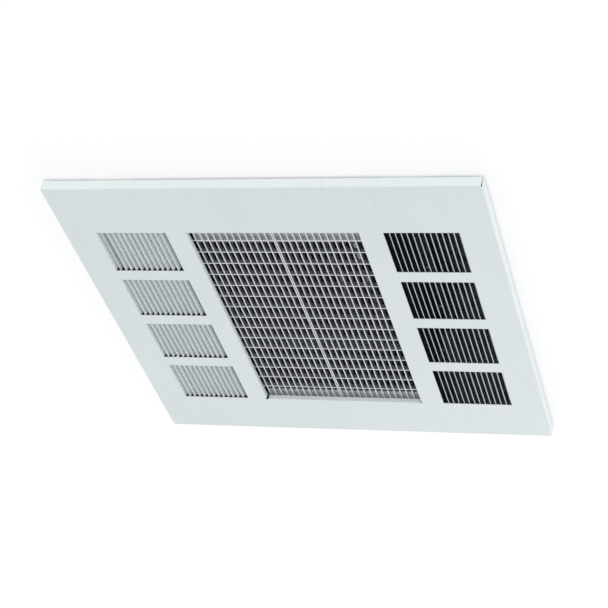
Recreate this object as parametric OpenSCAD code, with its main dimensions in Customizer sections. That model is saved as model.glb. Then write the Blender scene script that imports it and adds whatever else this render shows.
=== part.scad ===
// Recessed ceiling heater with a louvred front panel and a fan that blows down through a bar grille.
// Z is up. The ceiling plane is z = 0 and the panel's face hangs below it.
// The hinge edge is towards -Y and the latch edge towards +Y.

/* [Front panel] */
// Side of the square front panel
panel_side = 603; // [594:1:630]
// How far the panel's face hangs below the ceiling
panel_depth = 17.5; // [17:0.5:22]
// Thickness of the panel's sheet
panel_sheet = 0.8; // [0.7:0.1:1.2]
// Outside radius of the panel's bends
panel_bend = 2; // [1.6:0.2:2.6]
// Shadow gap between the panel's rim and the ceiling
rim_gap = 2.4; // [2.2:0.1:3]
// Distance from the panel's hinge edge to the opening
near_margin = 96.65; // [92:0.05:104]
// Distance from the panel's latch edge to the opening
far_margin = 85.65; // [82:0.05:96]

/* [Louvres] */
// Distance from the centre line to a bank's inner edge
bank_inner = 153.5; // [150:0.1:158]
// Distance from the panel's side to a bank's outer edge
bank_margin = 46.45; // [40:0.05:60]
// Distance from the end of one bank to the next
bank_gap = 22.1; // [16:0.1:40]
// Banks on each side
bank_count = 4; // [2:1:4]
// Slots in a bank
slot_count = 13; // [8:1:14]
// Width of the web between two slots
louvre_web = 0.5; // [0.4:0.1:2]
// Extra width of a bank's innermost slot
inner_slot_extra = 0.8; // [0:0.1:2]
// Lean of a louvre blade from upright, in degrees
blade_lean = 30; // [20:1:40]
// Lean of the one blade that stands more upright than the rest, in degrees
odd_blade_lean = 16; // [10:1:40]

/* [Discharge grille] */
// Width of the panel's discharge opening
opening_width = 242; // [236:1:246]
// Sideways place of the opening's centre
opening_shift = -1.5; // [-2:0.5:2]
// Sideways place of the grille's middle bars
grille_shift = -4.5; // [-5:0.5:5]
// Height of the opening's folded lips above the panel's outer face
lip_height = 6.4; // [5:0.1:6.8]
// Depth of a grille bar
bar_depth = 7; // [5:0.5:7.5]
// Thickness of a grille bar
bar_sheet = 1.7; // [1.2:0.1:2]
// Lengthwise bars on each side of the middle pair
bar_side_count = 13; // [8:1:13]
// Distance between the middle pair of bars
middle_pair_pitch = 2.6; // [2.4:0.1:3]
// Number of cross bars
cross_count = 17; // [9:2:17]

/* [Recessed box] */
// How far the panel reaches past each side of the box
panel_overlap = 21.5; // [19.5:0.5:25]
// Room between the fan deck and the top of the box
motor_space = 97; // [90:1:130]
// Thickness of the box's sheet
box_sheet = 1; // [0.8:0.1:1.5]
// Radius of a conduit entry
conduit_r = 11.1; // [10.5:0.1:14]
// Radius of a screw hole in the box's walls
joist_hole_r = 3.2; // [2.5:0.1:4]
// Distance between the two screw holes of a wall
joist_spacing = 406; // [300:1:450]
// Thickness of the mounting frame's sheet
frame_sheet = 1.5; // [1.2:0.1:1.8]
// Radius of a ceiling screw hole in the mounting frame
ceiling_hole_r = 2.5; // [2:0.1:2.6]
// Distance of a ceiling screw from the centre line that lies along X
ceiling_hole_y = 200; // [120:1:220]
// Radius of a hanger bracket's hole
hanger_hole_r = 4.5; // [3:0.1:5]

/* [Fan and duct] */
// Height of the fan deck above the ceiling
deck_height = 118; // [115:1:121]
// Radius of the fan blades' tips
fan_r = 111; // [95:1:112]
// Radius of the deck's inlet throat
throat_r = 115.5; // [115:0.5:117]
// Pitch of a fan blade, in degrees
blade_pitch = 27; // [18:1:30]
// Number of fan blades
fan_blade_count = 5; // [3:1:6]
// Width of a fan blade at its tip
blade_chord = 66; // [50:1:70]
// Radius of the motor shaft
shaft_r = 4; // [3:0.5:5]
// Radius of the motor shell
motor_r = 42; // [38:1:46]
// Air gap between the motor and the top of the box
motor_gap = 10.8; // [6:0.2:20]

/* [Heating elements] */
// Height of the elements' centre line above the ceiling
element_height = 52; // [48:1:56]
// Radius of an element's tube
tube_r = 4; // [3:0.5:5]
// Radius of an element's fins
fin_r = 13; // [10:0.5:14]
// Thickness of a fin
fin_sheet = 0.8; // [0.6:0.1:1]
// Distance between fins
fin_pitch = 9; // [8:0.5:14]
// Distance between the legs of the elements
leg_pitch = 38; // [34:1:40]

/* [Controls and hinges] */
// Radius of a hinge pin
hinge_pin_r = 1.1; // [0.9:0.1:1.2]
// Outside radius of a hinge knuckle
knuckle_r = 2.1; // [2:0.1:2.3]
// Length of a hinge
hinge_length = 60; // [40:1:80]
// Distance of a hinge from the centre line
hinge_place = 200; // [150:1:230]
// Width of the disconnect switch's rocker
rocker_w = 18; // [14:1:20]
// Length of the disconnect switch's rocker
rocker_l = 26; // [22:1:30]
// Radius of the reset button
button_r = 3; // [2.5:0.1:4]
// Reach of the reset button below the wiring cover
button_reach = 4; // [3:0.5:6]

/* [Hidden] */

$fn = 48;

// Clearances and overruns that several pieces share
touch_gap = 0.3;
running_gap = 0.05;
lap_gap = 0.1;
cut = 1;

// Sheet metal screws
screw_r = 2;
screw_hole_r = screw_r + lap_gap;
screw_head_r = 3.8;
screw_head = 2.2;
screw_grip = 3;

// Panel
panel_half = panel_side / 2;
rim_inner = panel_half - panel_sheet;
rim_height = panel_depth - rim_gap;
face_inside = panel_sheet - panel_depth;
opening_length = panel_side - near_margin - far_margin;
field_offset = (near_margin - far_margin) / 2;
opening_half_w = opening_width / 2;
opening_half_l = opening_length / 2;
slot_pitch = (panel_half - bank_margin - bank_inner + louvre_web) / slot_count;
slot_width = slot_pitch - louvre_web;
bank_length = (opening_length - (bank_count - 1) * bank_gap) / bank_count;
bank_pitch = bank_length + bank_gap;
blade_length = 0.97 * slot_width;
blade_kerf = 0.8;
// The bank and slot, counted from the hinge edge and from the centre line, of the one upright blade
odd_bank = 0;
odd_slot = slot_count - 2;
// Corner relief holes of the opening: radius and the two signs of the corner
relief_holes = [[1, -1, -1], [1, 1, -1], [2.4, -1, 1], [1.5, 1, 1]];
lip_setback = 2.4;

// Grille
bar_bottom = lip_height + lap_gap - panel_depth;
bar_top = bar_bottom + bar_depth;
channel_sheet = 1;
channel_setback = 9;
channel_foot = 16;
channel_inset = 6;
near_ledge = 38;
far_ledge = 8;
channel_length = opening_width - 2 * channel_inset;
channel_shift = (opening_shift + grille_shift) / 2;
bar_length = opening_length + 2 * (channel_setback - lap_gap);
cross_length = opening_width + 2 * channel_setback;
bar_overlap = 0.55;
bar_pitch = (opening_half_w + bar_overlap - middle_pair_pitch / 2) / bar_side_count;
cross_overlap = 0.2;
cross_pitch = (opening_length + 2 * cross_overlap) / (cross_count - 1);
cross_half_count = (cross_count - 1) / 2;
first_bar = middle_pair_pitch / 2 + bar_pitch;
bar_places = concat(
    [for (i = [bar_side_count - 1:-1:0]) -first_bar - i * bar_pitch],
    [-middle_pair_pitch / 2, middle_pair_pitch / 2],
    [for (i = [0:bar_side_count - 1]) first_bar + i * bar_pitch]
);
cross_places = [for (i = [-cross_half_count:cross_half_count]) i * cross_pitch];
notch_w = bar_sheet + 2 * lap_gap;
notch_d = bar_depth / 2 + lap_gap;

// Studs that hold the grille's channels
weld_stud_r = 2;
weld_stud_length = 7;
stud_place = 90;
nut_across = 7;
nut_height = 3.2;

// Box and mounting frame
box_half = panel_half - panel_overlap;
box_side = 2 * box_half;
box_height = deck_height + motor_space;
box_inner = box_half - box_sheet;
box_bend = 2;
box_flange = 12;
box_wall_top = box_height - box_sheet - lap_gap;
box_rivet_r = 1.6;
box_rivet_head_r = 3;
box_rivet_head = 1.1;
box_rivet_tail_r = 2.1;
box_rivet_tail = 1.2;
box_rivet_inset = 5.5;
// Places of the rivets, as shares of half the box's side and of its height
top_rivet_shares = [-0.8, -0.3, 0.3, 0.8];
end_rivet_shares = [-0.7, 0, 0.7];
corner_rivet_shares = [0.22, 0.56, 0.9];
frame_margin = 6;
frame_half = panel_half - frame_margin;
leg_inner = box_inner - lap_gap - frame_sheet;
leg_height = 24;
frame_screw_z = leg_height - screw_head_r - touch_gap;
frame_screw_place = 180;
ceiling_hole_x = (box_half + frame_half) / 2;
joist_hole_z = 45;
conduit_x = -150;
conduit_z = 70;
knockout_slit = 0.8;
knockout_tab = 3;
top_knockout_place = 190;

// Hinges: the axis lies along the panel's rim, just under the frame's flange
hinge_z = -frame_sheet - knuckle_r;
hinge_y = -(rim_inner - touch_gap - knuckle_r);
leaf_sheet = 1;
leaf_width = 12;
leaf_drop = panel_depth - panel_bend + hinge_z - 2 * panel_sheet;
knuckle_length = hinge_length / 3 - touch_gap;

// Latch screws and their tabs
latch_place = 200;
latch_z = -8;
latch_length = 10;
tab_setback = 2;
tab_width = 18;
tab_drop = 12;

// Hanger brackets
hanger_drop = 45;
hanger_z = box_height - hanger_drop;
hanger_leg = 26;
hanger_foot = 21;
hanger_width = 34;
hanger_sheet = 2;
hanger_place = 200;
hanger_hole_x = box_half + hanger_foot * 0.55;

// Duct and deck
duct_margin = 8;
duct_sheet = 1;
duct_side_margin = 10;
duct_half_w = opening_half_w + duct_side_margin;
duct_half_l = opening_half_l + duct_margin;
duct_bottom = 1.5;
duct_flange = 15;
duct_near = field_offset - duct_half_l;
duct_far = field_offset + duct_half_l;
duct_screw_shares = [-0.7, -0.24, 0.24, 0.7];
deck_sheet = 1.2;
deck_top = deck_height + deck_sheet;
deck_half_w = duct_half_w + duct_flange;
deck_half_l = box_inner - lap_gap;
deck_flange = 18;
deck_screw_place = 110;
stiffener_height = 10;
stiffener_inset = 20;
bell_r = 10;
collar_height = 14;

// Motor bracket
strap_sheet = 2;
strap_width = 56;
strap_rise = 20;
strap_foot = 16;
strap_z = deck_top + strap_rise;
strap_leg_x = throat_r + bell_r + strap_sheet;

// Motor
grommet_height = 4;
grommet_r = 6.5;
bell_height = 8;
bell_overhang = 1;
bell_z = strap_z + strap_sheet + grommet_height;
shell_z = bell_z + bell_height;
motor_height = box_height - box_sheet - motor_gap - bell_height - shell_z;
motor_stud_place = motor_r * 0.45;
motor_stud_r = 2.5;
motor_nut_across = 8;
stud_end = 2;
bearing_r = 9;
bearing_height = 6;
rotor_gap = 2;

// Fan
fan_z = deck_height - bell_r - collar_height / 3;
hub_r = 14;
hub_height = 20;
hub_flange = 6;
hub_flange_sheet = 3;
hub_bottom = fan_z - hub_height / 2;
hub_seat = hub_bottom + hub_height / 2;
setscrew_r = 2;
shaft_end = 4;
spider_sheet = 2;
spider_r = 44;
spider_arm = 15;
blade_sheet = 1.2;
blade_camber_r = 95;
blade_root = 27;
blade_root_chord = 30;
blade_corner = 12;
rivet_r = 2.2;
rivet_head = 1.4;
rivet_place_shares = [0.68, 0.9];

// Elements
leg_places = [for (i = [-2.5:1:2.5]) i * leg_pitch];
bend_r = leg_pitch / 2;
end_space = 6;
fin_margin = 22;
support_space = 40;
fin_start = duct_near + fin_margin;
leg_end = duct_far - bend_r - fin_r - end_space;
support_y = leg_end - support_space;
fin_count = floor((support_y - fin_pitch - fin_start) / fin_pitch);
fitting_r = 9;
fitting_height = 6;
element_hole_gap = 1;
terminal_y = duct_near - duct_sheet - fitting_height;
insulator_r = 5.5;
insulator_length = 13;
terminal_r = 1.8;
terminal_length = 12;
link_sheet = 1;
link_width = 8;

// Wiring compartment: cover, switch, limit control and what stands on the box's wall
cover_end_gap = 11.4;
cover_half_w = leg_inner - cover_end_gap;
cover_near = -leg_inner + touch_gap;
cover_far = duct_near - duct_sheet - touch_gap;
cover_length = cover_far - cover_near;
cover_mid = (cover_near + cover_far) / 2;
cover_sheet = 1.2;
cover_rise = 14;
cover_tab = 15;
cover_screw_inset = 8;
cover_screw_shares = [-0.92, 0, 0.5];
switch_inset = 51;
switch_x = cover_half_w - switch_inset;
switch_height = 30;
bezel_margin = 4;
bezel_lip = 2;
bezel_height = 1.6;
rocker_height = 9;
rocker_pin_r = 1.5;
rocker_pin_reach = 2.5;
rocker_pivot_z = cover_sheet + 0.4 * bezel_height;
limit_inset = 101;
limit_x = cover_half_w - limit_inset;
limit_w = 32;
limit_l = 40;
limit_height = 34;
button_length = 14;
delay_x = 60;
delay_r = 8;
delay_height = 12;
delay_flange = 3;
delay_blade = 7;
block_w = 56;
block_depth = 26;
block_height = 22;
block_wall = 4;
block_z = 28;
contactor_inset = 19;
contactor_x = contactor_inset - box_inner;
contactor_w = 52;
contactor_depth = 44;
contactor_height = 56;
contactor_slot = 10;
lug_inset = 28;
lug_x = lug_inset - box_inner;
lug_z = 100;
lug_w = 10;

// Motor lead
lead_r = 3.5;
lead_bend = 16;
lead_x = -120;
lead_y = -box_inner + block_depth / 2;
lead_z = shell_z + motor_height / 2;
lead_rim = 3;
grommet_lip = 2;

white_paint = [0.85, 0.88, 0.89];
pale_bar = [0.74, 0.76, 0.78];
galvanised = [0.66, 0.68, 0.70];
steel = [0.58, 0.59, 0.61];
zinc = [0.75, 0.74, 0.70];
dark = [0.12, 0.12, 0.13];
rubber_black = [0.08, 0.08, 0.08];
porcelain = [0.93, 0.92, 0.88];
brass_tone = [0.78, 0.62, 0.30];
button_red = [0.60, 0.10, 0.08];

// Outline of a bend and its upright leg: outer corner at the origin, the flat side going right
module fold_profile(bend, sheet, leg) {
    intersection() {
        translate([bend, bend])
            difference() {
                circle(bend);
                circle(bend - sheet);
            }
        square(bend);
    }
    translate([bend, 0])
        square(sheet);
    translate([0, bend])
        square([sheet, leg - bend]);
}

// A folded edge along X, with its outer face on y = 0 and the sheet going towards +Y
module folded_edge(length, bend, sheet, leg) {
    rotate([90, 0, 90])
        linear_extrude(length, center = true)
            fold_profile(bend, sheet, leg);
}

// A solid made by drawing a YZ outline along X, centred on x = 0
module drawn_along_x(length) {
    rotate([90, 0, 90])
        linear_extrude(length, center = true)
            children();
}

// A cylinder along X, centred on x = 0
module rod_along_x(length, r) {
    rotate([0, 90, 0])
        cylinder(h = length, r = r, center = true);
}

module both_sides(x) {
    for (side = [-1, 1])
        translate([side * x, 0, 0])
            children();
}

// Places its children at two edges of the square, the second one turned half round
module both_ends() {
    for (turn = [0, 180])
        rotate([0, 0, turn])
            children();
}

module all_edges() {
    for (turn = [0:90:270])
        rotate([0, 0, turn])
            children();
}

// A hole along Z through a sheet that stands on z = 0
module sheet_hole(sheet, r) {
    translate([0, 0, -cut])
        cylinder(h = sheet + 2 * cut, r = r);
}

// A pan head screw along Z: the head lies below z = 0 and the shank above it
module pan_screw(length, r = screw_r) {
    cylinder(h = length, r = r, $fn = 24);
    translate([0, 0, -screw_head])
        cylinder(h = screw_head, r1 = screw_head_r * 0.8, r2 = screw_head_r, $fn = 24);
}

// Outline of a bar with notches cut into its top edge
function notched_outline(length, depth, places, w, d) = concat(
    [[-length / 2, 0], [length / 2, 0], [length / 2, depth]],
    [for (i = [len(places) - 1:-1:0]) each [
        [places[i] + w / 2, depth],
        [places[i] + w / 2, depth - d],
        [places[i] - w / 2, depth - d],
        [places[i] - w / 2, depth]
    ]],
    [[-length / 2, depth]]
);

function bank_y(bank) = field_offset + (bank - (bank_count - 1) / 2) * bank_pitch;

// Front panel

module slot_field() {
    for (side = [-1, 1], bank = [0:bank_count - 1], slot = [0:slot_count - 1])
        translate([side * (bank_inner + slot * slot_pitch + slot_width / 2), bank_y(bank)])
            square([slot_width, bank_length], center = true);
    for (side = [-1, 1], bank = [0:bank_count - 1])
        translate([side * bank_inner, bank_y(bank)])
            square([2 * inner_slot_extra, bank_length], center = true);
}

// One bank's blades, each bent up from its slot's outer edge and leaning to the centre line
module louvre_bank(odd = -1) {
    for (slot = [0:slot_count - 1])
        translate([bank_inner + slot * slot_pitch + slot_width, 0, 0])
            rotate([0, slot == odd ? -odd_blade_lean : -blade_lean, 0])
                translate([0, -bank_length / 2 + blade_kerf, 0])
                    cube([panel_sheet, bank_length - 2 * blade_kerf, blade_length]);
}

module panel_face() {
    difference() {
        square(panel_side - 2 * panel_bend, center = true);
        slot_field();
        translate([opening_shift, field_offset]) {
            square([opening_width, opening_length], center = true);
            for (hole = relief_holes)
                translate([hole[1] * opening_half_w, hole[2] * opening_half_l])
                    circle(hole[0]);
        }
    }
}

module opening_lips() {
    both_ends() {
        translate([0, opening_half_l, 0])
            folded_edge(opening_width - 2 * lip_setback, panel_bend, panel_sheet, lip_height);
        rotate([0, 0, 90])
            translate([0, opening_half_w, 0])
                folded_edge(opening_length - 2 * lip_setback, panel_bend, panel_sheet, lip_height);
    }
}

// Open slots in the far rim, which drop off the latch screws when the panel swings down
module latch_slots() {
    slot_r = screw_r + touch_gap;
    both_sides(latch_place)
        translate([0, panel_half - panel_sheet / 2, latch_z])
            rotate([90, 0, 0])
                linear_extrude(panel_sheet + 2 * cut, center = true) {
                    circle(slot_r);
                    translate([-slot_r, 0])
                        square([2 * slot_r, -latch_z]);
                }
}

module front_panel() {
    color(white_paint)
        difference() {
            translate([0, 0, -panel_depth]) {
                linear_extrude(panel_sheet)
                    panel_face();
                all_edges()
                    translate([0, -panel_half, 0])
                        folded_edge(panel_side - 2 * panel_bend, panel_bend, panel_sheet, rim_height);
                translate([opening_shift, field_offset, 0])
                    opening_lips();
                for (bank = [0:bank_count - 1])
                    translate([0, bank_y(bank), 0]) {
                        louvre_bank();
                        mirror([1, 0, 0])
                            louvre_bank(bank == odd_bank ? odd_slot : -1);
                    }
            }
            latch_slots();
        }
}

// Discharge grille: lengthwise bars and cross bars, half lapped into each other

module grille_bars() {
    color(pale_bar)
        translate([grille_shift, field_offset, bar_bottom])
            for (x = bar_places)
                translate([x, 0, 0])
                    drawn_along_x(bar_sheet)
                        polygon(notched_outline(bar_length, bar_depth, cross_places, notch_w, notch_d));
}

module grille_cross_bars() {
    places = [for (x = bar_places) x + grille_shift - opening_shift];
    color(pale_bar)
        translate([opening_shift, field_offset, bar_top])
            for (y = cross_places)
                translate([0, y, 0])
                    rotate([-90, 0, 0])
                        linear_extrude(bar_sheet, center = true)
                            polygon(notched_outline(cross_length, bar_depth, places, notch_w, notch_d));
}

// Outline of an end channel: foot on the panel, web beside the bars' ends, ledge over the bars
module channel_profile(ledge) {
    ledge_z = bar_top + lap_gap;
    translate([-channel_setback - channel_foot, face_inside])
        square([channel_foot, channel_sheet]);
    translate([-channel_setback - channel_sheet, face_inside])
        square([channel_sheet, ledge_z + channel_sheet - face_inside]);
    translate([-channel_setback - channel_sheet, ledge_z])
        square([channel_setback + channel_sheet + ledge, channel_sheet]);
}

module at_channel_studs() {
    translate([channel_shift, field_offset, face_inside])
        both_ends()
            both_sides(stud_place)
                translate([0, -opening_half_l - channel_setback - channel_foot * 0.6, 0])
                    children();
}

module grille_end_channels() {
    color(pale_bar)
        difference() {
            translate([channel_shift, field_offset, 0]) {
                translate([0, -opening_half_l, 0])
                    drawn_along_x(channel_length)
                        channel_profile(near_ledge);
                mirror([0, 1, 0])
                    translate([0, -opening_half_l, 0])
                        drawn_along_x(channel_length)
                            channel_profile(far_ledge);
            }
            at_channel_studs()
                sheet_hole(channel_sheet, weld_stud_r + lap_gap);
        }
}

module weld_studs() {
    color(zinc)
        at_channel_studs()
            cylinder(h = weld_stud_length, r = weld_stud_r);
}

module stud_nuts() {
    color(zinc)
        at_channel_studs()
            translate([0, 0, channel_sheet])
                difference() {
                    cylinder(h = nut_height, d = nut_across / cos(30), $fn = 6);
                    sheet_hole(nut_height, weld_stud_r + running_gap);
                }
}

// Hinges

module at_hinges() {
    translate([0, hinge_y, hinge_z])
        both_sides(hinge_place)
            children();
}

module frame_hinge_leaves() {
    notch = hinge_length / 3 + touch_gap / 2;
    plate = hinge_length - touch_gap;
    color(zinc)
        at_hinges()
            difference() {
                union() {
                    both_sides(hinge_length / 3)
                        rod_along_x(knuckle_length, knuckle_r);
                    translate([-plate / 2, 0, knuckle_r - leaf_sheet])
                        cube([plate, leaf_width, leaf_sheet]);
                }
                rod_along_x(hinge_length + 2 * cut, hinge_pin_r + running_gap);
                translate([-notch / 2, -cut, -knuckle_r])
                    cube([notch, knuckle_r + touch_gap + cut, 2 * knuckle_r + cut]);
            }
}

module panel_hinge_leaves() {
    notch = hinge_length / 3 + touch_gap;
    back = knuckle_r + touch_gap;
    plate = hinge_length - 2 * touch_gap;
    color(zinc)
        at_hinges()
            difference() {
                union() {
                    rod_along_x(knuckle_length, knuckle_r);
                    translate([-plate / 2, -back, -leaf_drop])
                        cube([plate, leaf_sheet + touch_gap, leaf_drop]);
                }
                rod_along_x(hinge_length + 2 * cut, hinge_pin_r + running_gap);
                both_sides(hinge_length / 3)
                    translate([-notch / 2, -back - cut, -back])
                        cube([notch, 2 * back, 2 * back]);
            }
}

module hinge_pins() {
    color(steel)
        at_hinges()
            rod_along_x(hinge_length + 2 * hinge_pin_r, hinge_pin_r);
}

// Latch: tabs under the frame's flange, just inside the far rim, and the screws through the rim

module latch_tabs() {
    tab_y = rim_inner - tab_setback - frame_sheet;
    foot_y = frame_half - tab_width;
    color(galvanised)
        both_sides(latch_place)
            difference() {
                union() {
                    translate([-tab_width / 2, tab_y, -frame_sheet - tab_drop])
                        cube([tab_width, frame_sheet, tab_drop]);
                    translate([-tab_width / 2, foot_y, -2 * frame_sheet])
                        cube([tab_width, tab_y + frame_sheet - foot_y, frame_sheet]);
                }
                translate([0, tab_y, latch_z])
                    rotate([-90, 0, 0])
                        sheet_hole(frame_sheet, screw_r + running_gap);
            }
}

module latch_screws() {
    color(zinc)
        both_sides(latch_place)
            translate([0, panel_half + touch_gap, latch_z])
                rotate([90, 0, 0])
                    pan_screw(latch_length);
}

// Mounting frame: a flange against the ceiling and an upright leg inside the box

module frame_ring(outer, inner, height) {
    linear_extrude(height)
        difference() {
            square(2 * outer, center = true);
            square(2 * inner, center = true);
        }
}

// Screws through the frame's legs and the box: local Z points out of the box
module at_frame_screws() {
    all_edges()
        both_sides(frame_screw_place)
            translate([0, leg_inner, frame_screw_z])
                rotate([-90, 0, 0])
                    children();
}

module at_cover_screws() {
    for (share = cover_screw_shares)
        translate([share * cover_half_w, cover_near + cover_screw_inset, 0])
            children();
}

module mounting_frame() {
    color(galvanised)
        difference() {
            union() {
                translate([0, 0, -frame_sheet])
                    frame_ring(frame_half, leg_inner, frame_sheet);
                frame_ring(leg_inner + frame_sheet, leg_inner, leg_height);
                at_cover_screws()
                    translate([-cover_tab / 2, -cover_screw_inset - touch_gap - frame_sheet, cover_sheet + lap_gap])
                        cube([cover_tab, cover_tab + frame_sheet, frame_sheet]);
            }
            for (sx = [-1, 1], sy = [-1, 1])
                translate([sx * ceiling_hole_x, sy * ceiling_hole_y, -frame_sheet])
                    sheet_hole(frame_sheet, ceiling_hole_r);
            at_frame_screws()
                sheet_hole(frame_sheet, screw_hole_r);
            at_cover_screws()
                sheet_hole(leg_height, screw_r + running_gap);
        }
}

module frame_screws() {
    color(zinc)
        at_frame_screws()
            pan_screw(frame_sheet + box_sheet + screw_grip);
}

// Back box

// A knockout's ring slit in the XY plane, held by two tabs
module knockout_slit_ring() {
    linear_extrude(box_sheet + 2 * cut, center = true)
        difference() {
            circle(conduit_r);
            circle(conduit_r - knockout_slit);
            square([knockout_tab, 2 * (conduit_r + cut)], center = true);
        }
}

module box_holes() {
    wall_mid = box_half - box_sheet / 2;
    // Conduit entry into the wiring compartment, with a closed knockout on each side of it
    translate([conduit_x, -wall_mid, conduit_z])
        rotate([90, 0, 0]) {
            cylinder(h = box_sheet + 2 * cut, r = conduit_r, center = true);
            both_sides(4 * conduit_r)
                knockout_slit_ring();
        }
    // Closed knockouts in the top
    both_sides(top_knockout_place)
        translate([0, -top_knockout_place, box_height - box_sheet / 2])
            knockout_slit_ring();
    // Screw holes towards the joists
    for (turn = [90, 270])
        rotate([0, 0, turn])
            both_sides(joist_spacing / 2)
                translate([0, wall_mid, joist_hole_z])
                    rotate([90, 0, 0])
                        cylinder(h = box_sheet + 2 * cut, r = joist_hole_r, center = true);
    at_frame_screws()
        sheet_hole(frame_sheet + box_sheet, screw_hole_r);
    at_deck_screws()
        sheet_hole(box_sheet, screw_hole_r);
    at_hanger_screws()
        sheet_hole(hanger_sheet + box_sheet, screw_hole_r);
}

// Places of the box's rivets: local Z points out of the box
module at_top_rivets() {
    for (side = [-1, 1], share = top_rivet_shares)
        translate([side * (box_half - box_rivet_inset), share * box_half, box_height])
            children();
    for (side = [-1, 1], share = end_rivet_shares)
        translate([share * box_half, side * (box_half - box_rivet_inset), box_height])
            children();
}

module at_corner_rivets() {
    for (sx = [0, 1], sy = [-1, 1], share = corner_rivet_shares)
        mirror([sx, 0, 0])
            translate([box_half, sy * (box_half - box_rivet_inset), share * box_height])
                rotate([0, 90, 0])
                    children();
}

// Holes for the rivets through both sheets
module box_rivet_holes() {
    depth = 2 * box_sheet + lap_gap;
    at_top_rivets()
        translate([0, 0, -depth])
            sheet_hole(depth, box_rivet_r + lap_gap);
    at_corner_rivets()
        translate([0, 0, -depth])
            sheet_hole(depth, box_rivet_r + lap_gap);
}

// Flat lid that closes the box
module box_top_plate() {
    color(galvanised)
        difference() {
            translate([-box_half, -box_half, box_height - box_sheet])
                cube([box_side, box_side, box_sheet]);
            box_holes();
            box_rivet_holes();
        }
}

// A wall on the box's hinge side, with a flange folded in along its top
module folded_wall(length) {
    translate([0, -box_half, 0])
        drawn_along_x(length)
            translate([0, box_wall_top])
                mirror([0, 1]) {
                    fold_profile(box_bend, box_sheet, box_wall_top - lap_gap);
                    translate([box_bend, 0])
                        square([box_flange - box_bend, box_sheet]);
                }
}

module box_side_walls() {
    color(galvanised)
        difference() {
            for (turn = [90, 270])
                rotate([0, 0, turn])
                    folded_wall(box_side);
            box_holes();
            box_rivet_holes();
        }
}

// End walls fit between the side walls, with a flange against each of them above the frame's leg
module box_end_walls() {
    half = box_inner - lap_gap;
    flange_low = leg_height + touch_gap;
    notch_z = box_wall_top - box_bend - touch_gap;
    notch_x = box_inner - box_flange;
    color(galvanised)
        difference() {
            both_ends() {
                folded_wall(2 * half);
                for (side = [0, 1])
                    mirror([side, 0, 0])
                        translate([half - box_sheet, -box_half, flange_low])
                            cube([box_sheet, box_flange, notch_z - flange_low]);
            }
            for (sx = [0, 1], sy = [0, 1])
                mirror([sx, 0, 0])
                    mirror([0, sy, 0])
                        translate([notch_x, -box_half - cut, notch_z])
                            cube([box_flange + cut, box_flange + 2 * cut, box_bend + touch_gap + cut]);
            box_holes();
            box_rivet_holes();
        }
}

// Pop rivets: a domed head outside, a shank through both sheets and an upset tail inside
module box_rivets() {
    depth = 2 * box_sheet + lap_gap;
    color(zinc) {
        at_top_rivets()
            box_rivet(depth);
        at_corner_rivets()
            box_rivet(depth);
    }
}

module box_rivet(depth) {
    cylinder(h = box_rivet_head, r1 = box_rivet_head_r, r2 = box_rivet_head_r * 0.6, $fn = 16);
    translate([0, 0, -depth])
        cylinder(h = depth, r = box_rivet_r, $fn = 16);
    translate([0, 0, -depth - box_rivet_tail])
        cylinder(h = box_rivet_tail, r = box_rivet_tail_r, $fn = 16);
}

module at_hangers() {
    for (sx = [0, 1], y = [-hanger_place, hanger_place])
        mirror([sx, 0, 0])
            translate([box_half, y, hanger_z])
                children();
}

// Screws through the brackets' legs into the box: local Z points into the box
module at_hanger_screws() {
    at_hangers()
        for (y = [-hanger_width / 4, hanger_width / 4])
            translate([hanger_sheet, y, -hanger_leg / 2 - hanger_sheet])
                rotate([0, -90, 0])
                    children();
}

module hanger_brackets() {
    color(galvanised)
        difference() {
            at_hangers()
                difference() {
                    translate([0, -hanger_width / 2, -hanger_leg])
                        cube([hanger_foot, hanger_width, hanger_leg]);
                    translate([hanger_sheet, -hanger_width / 2 - cut, -hanger_leg - hanger_sheet])
                        cube([hanger_foot, hanger_width + 2 * cut, hanger_leg]);
                    translate([hanger_hole_x - box_half, 0, -hanger_sheet])
                        sheet_hole(hanger_sheet, hanger_hole_r);
                }
            at_hanger_screws()
                sheet_hole(hanger_sheet, screw_hole_r);
        }
}

module hanger_screws() {
    color(zinc)
        at_hanger_screws()
            pan_screw(hanger_sheet + box_sheet + screw_grip);
}

// Air duct around the elements, hung from the deck by its side flanges

module at_duct_screws() {
    for (side = [-1, 1], share = duct_screw_shares)
        translate([
            side * (duct_half_w + duct_sheet + (duct_flange - duct_sheet) / 2),
            field_offset + share * duct_half_l,
            deck_height - duct_sheet
        ])
            children();
}

module air_duct() {
    color(galvanised)
        difference() {
            translate([0, field_offset, 0]) {
                translate([0, 0, duct_bottom])
                    linear_extrude(deck_height - duct_bottom)
                        difference() {
                            square(2 * [duct_half_w + duct_sheet, duct_half_l + duct_sheet], center = true);
                            square(2 * [duct_half_w, duct_half_l], center = true);
                        }
                both_ends()
                    translate([duct_half_w, -duct_half_l, deck_height - duct_sheet])
                        cube([duct_flange - lap_gap, 2 * duct_half_l, duct_sheet]);
            }
            at_terminals()
                translate([0, 0, -duct_sheet])
                    sheet_hole(duct_sheet, tube_r + element_hole_gap);
            at_delay_switch()
                translate([0, 0, -duct_sheet])
                    sheet_hole(duct_sheet, delay_r);
            at_duct_screws()
                sheet_hole(duct_sheet, screw_hole_r);
            at_bracket_screws()
                sheet_hole(strap_sheet + deck_sheet + duct_sheet, screw_hole_r);
        }
}

module duct_screws() {
    color(zinc)
        at_duct_screws()
            pan_screw(duct_sheet + deck_sheet + screw_grip);
}

// Fan deck: a shelf across the box, with end flanges, stiffened sides and a rolled inlet

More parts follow.
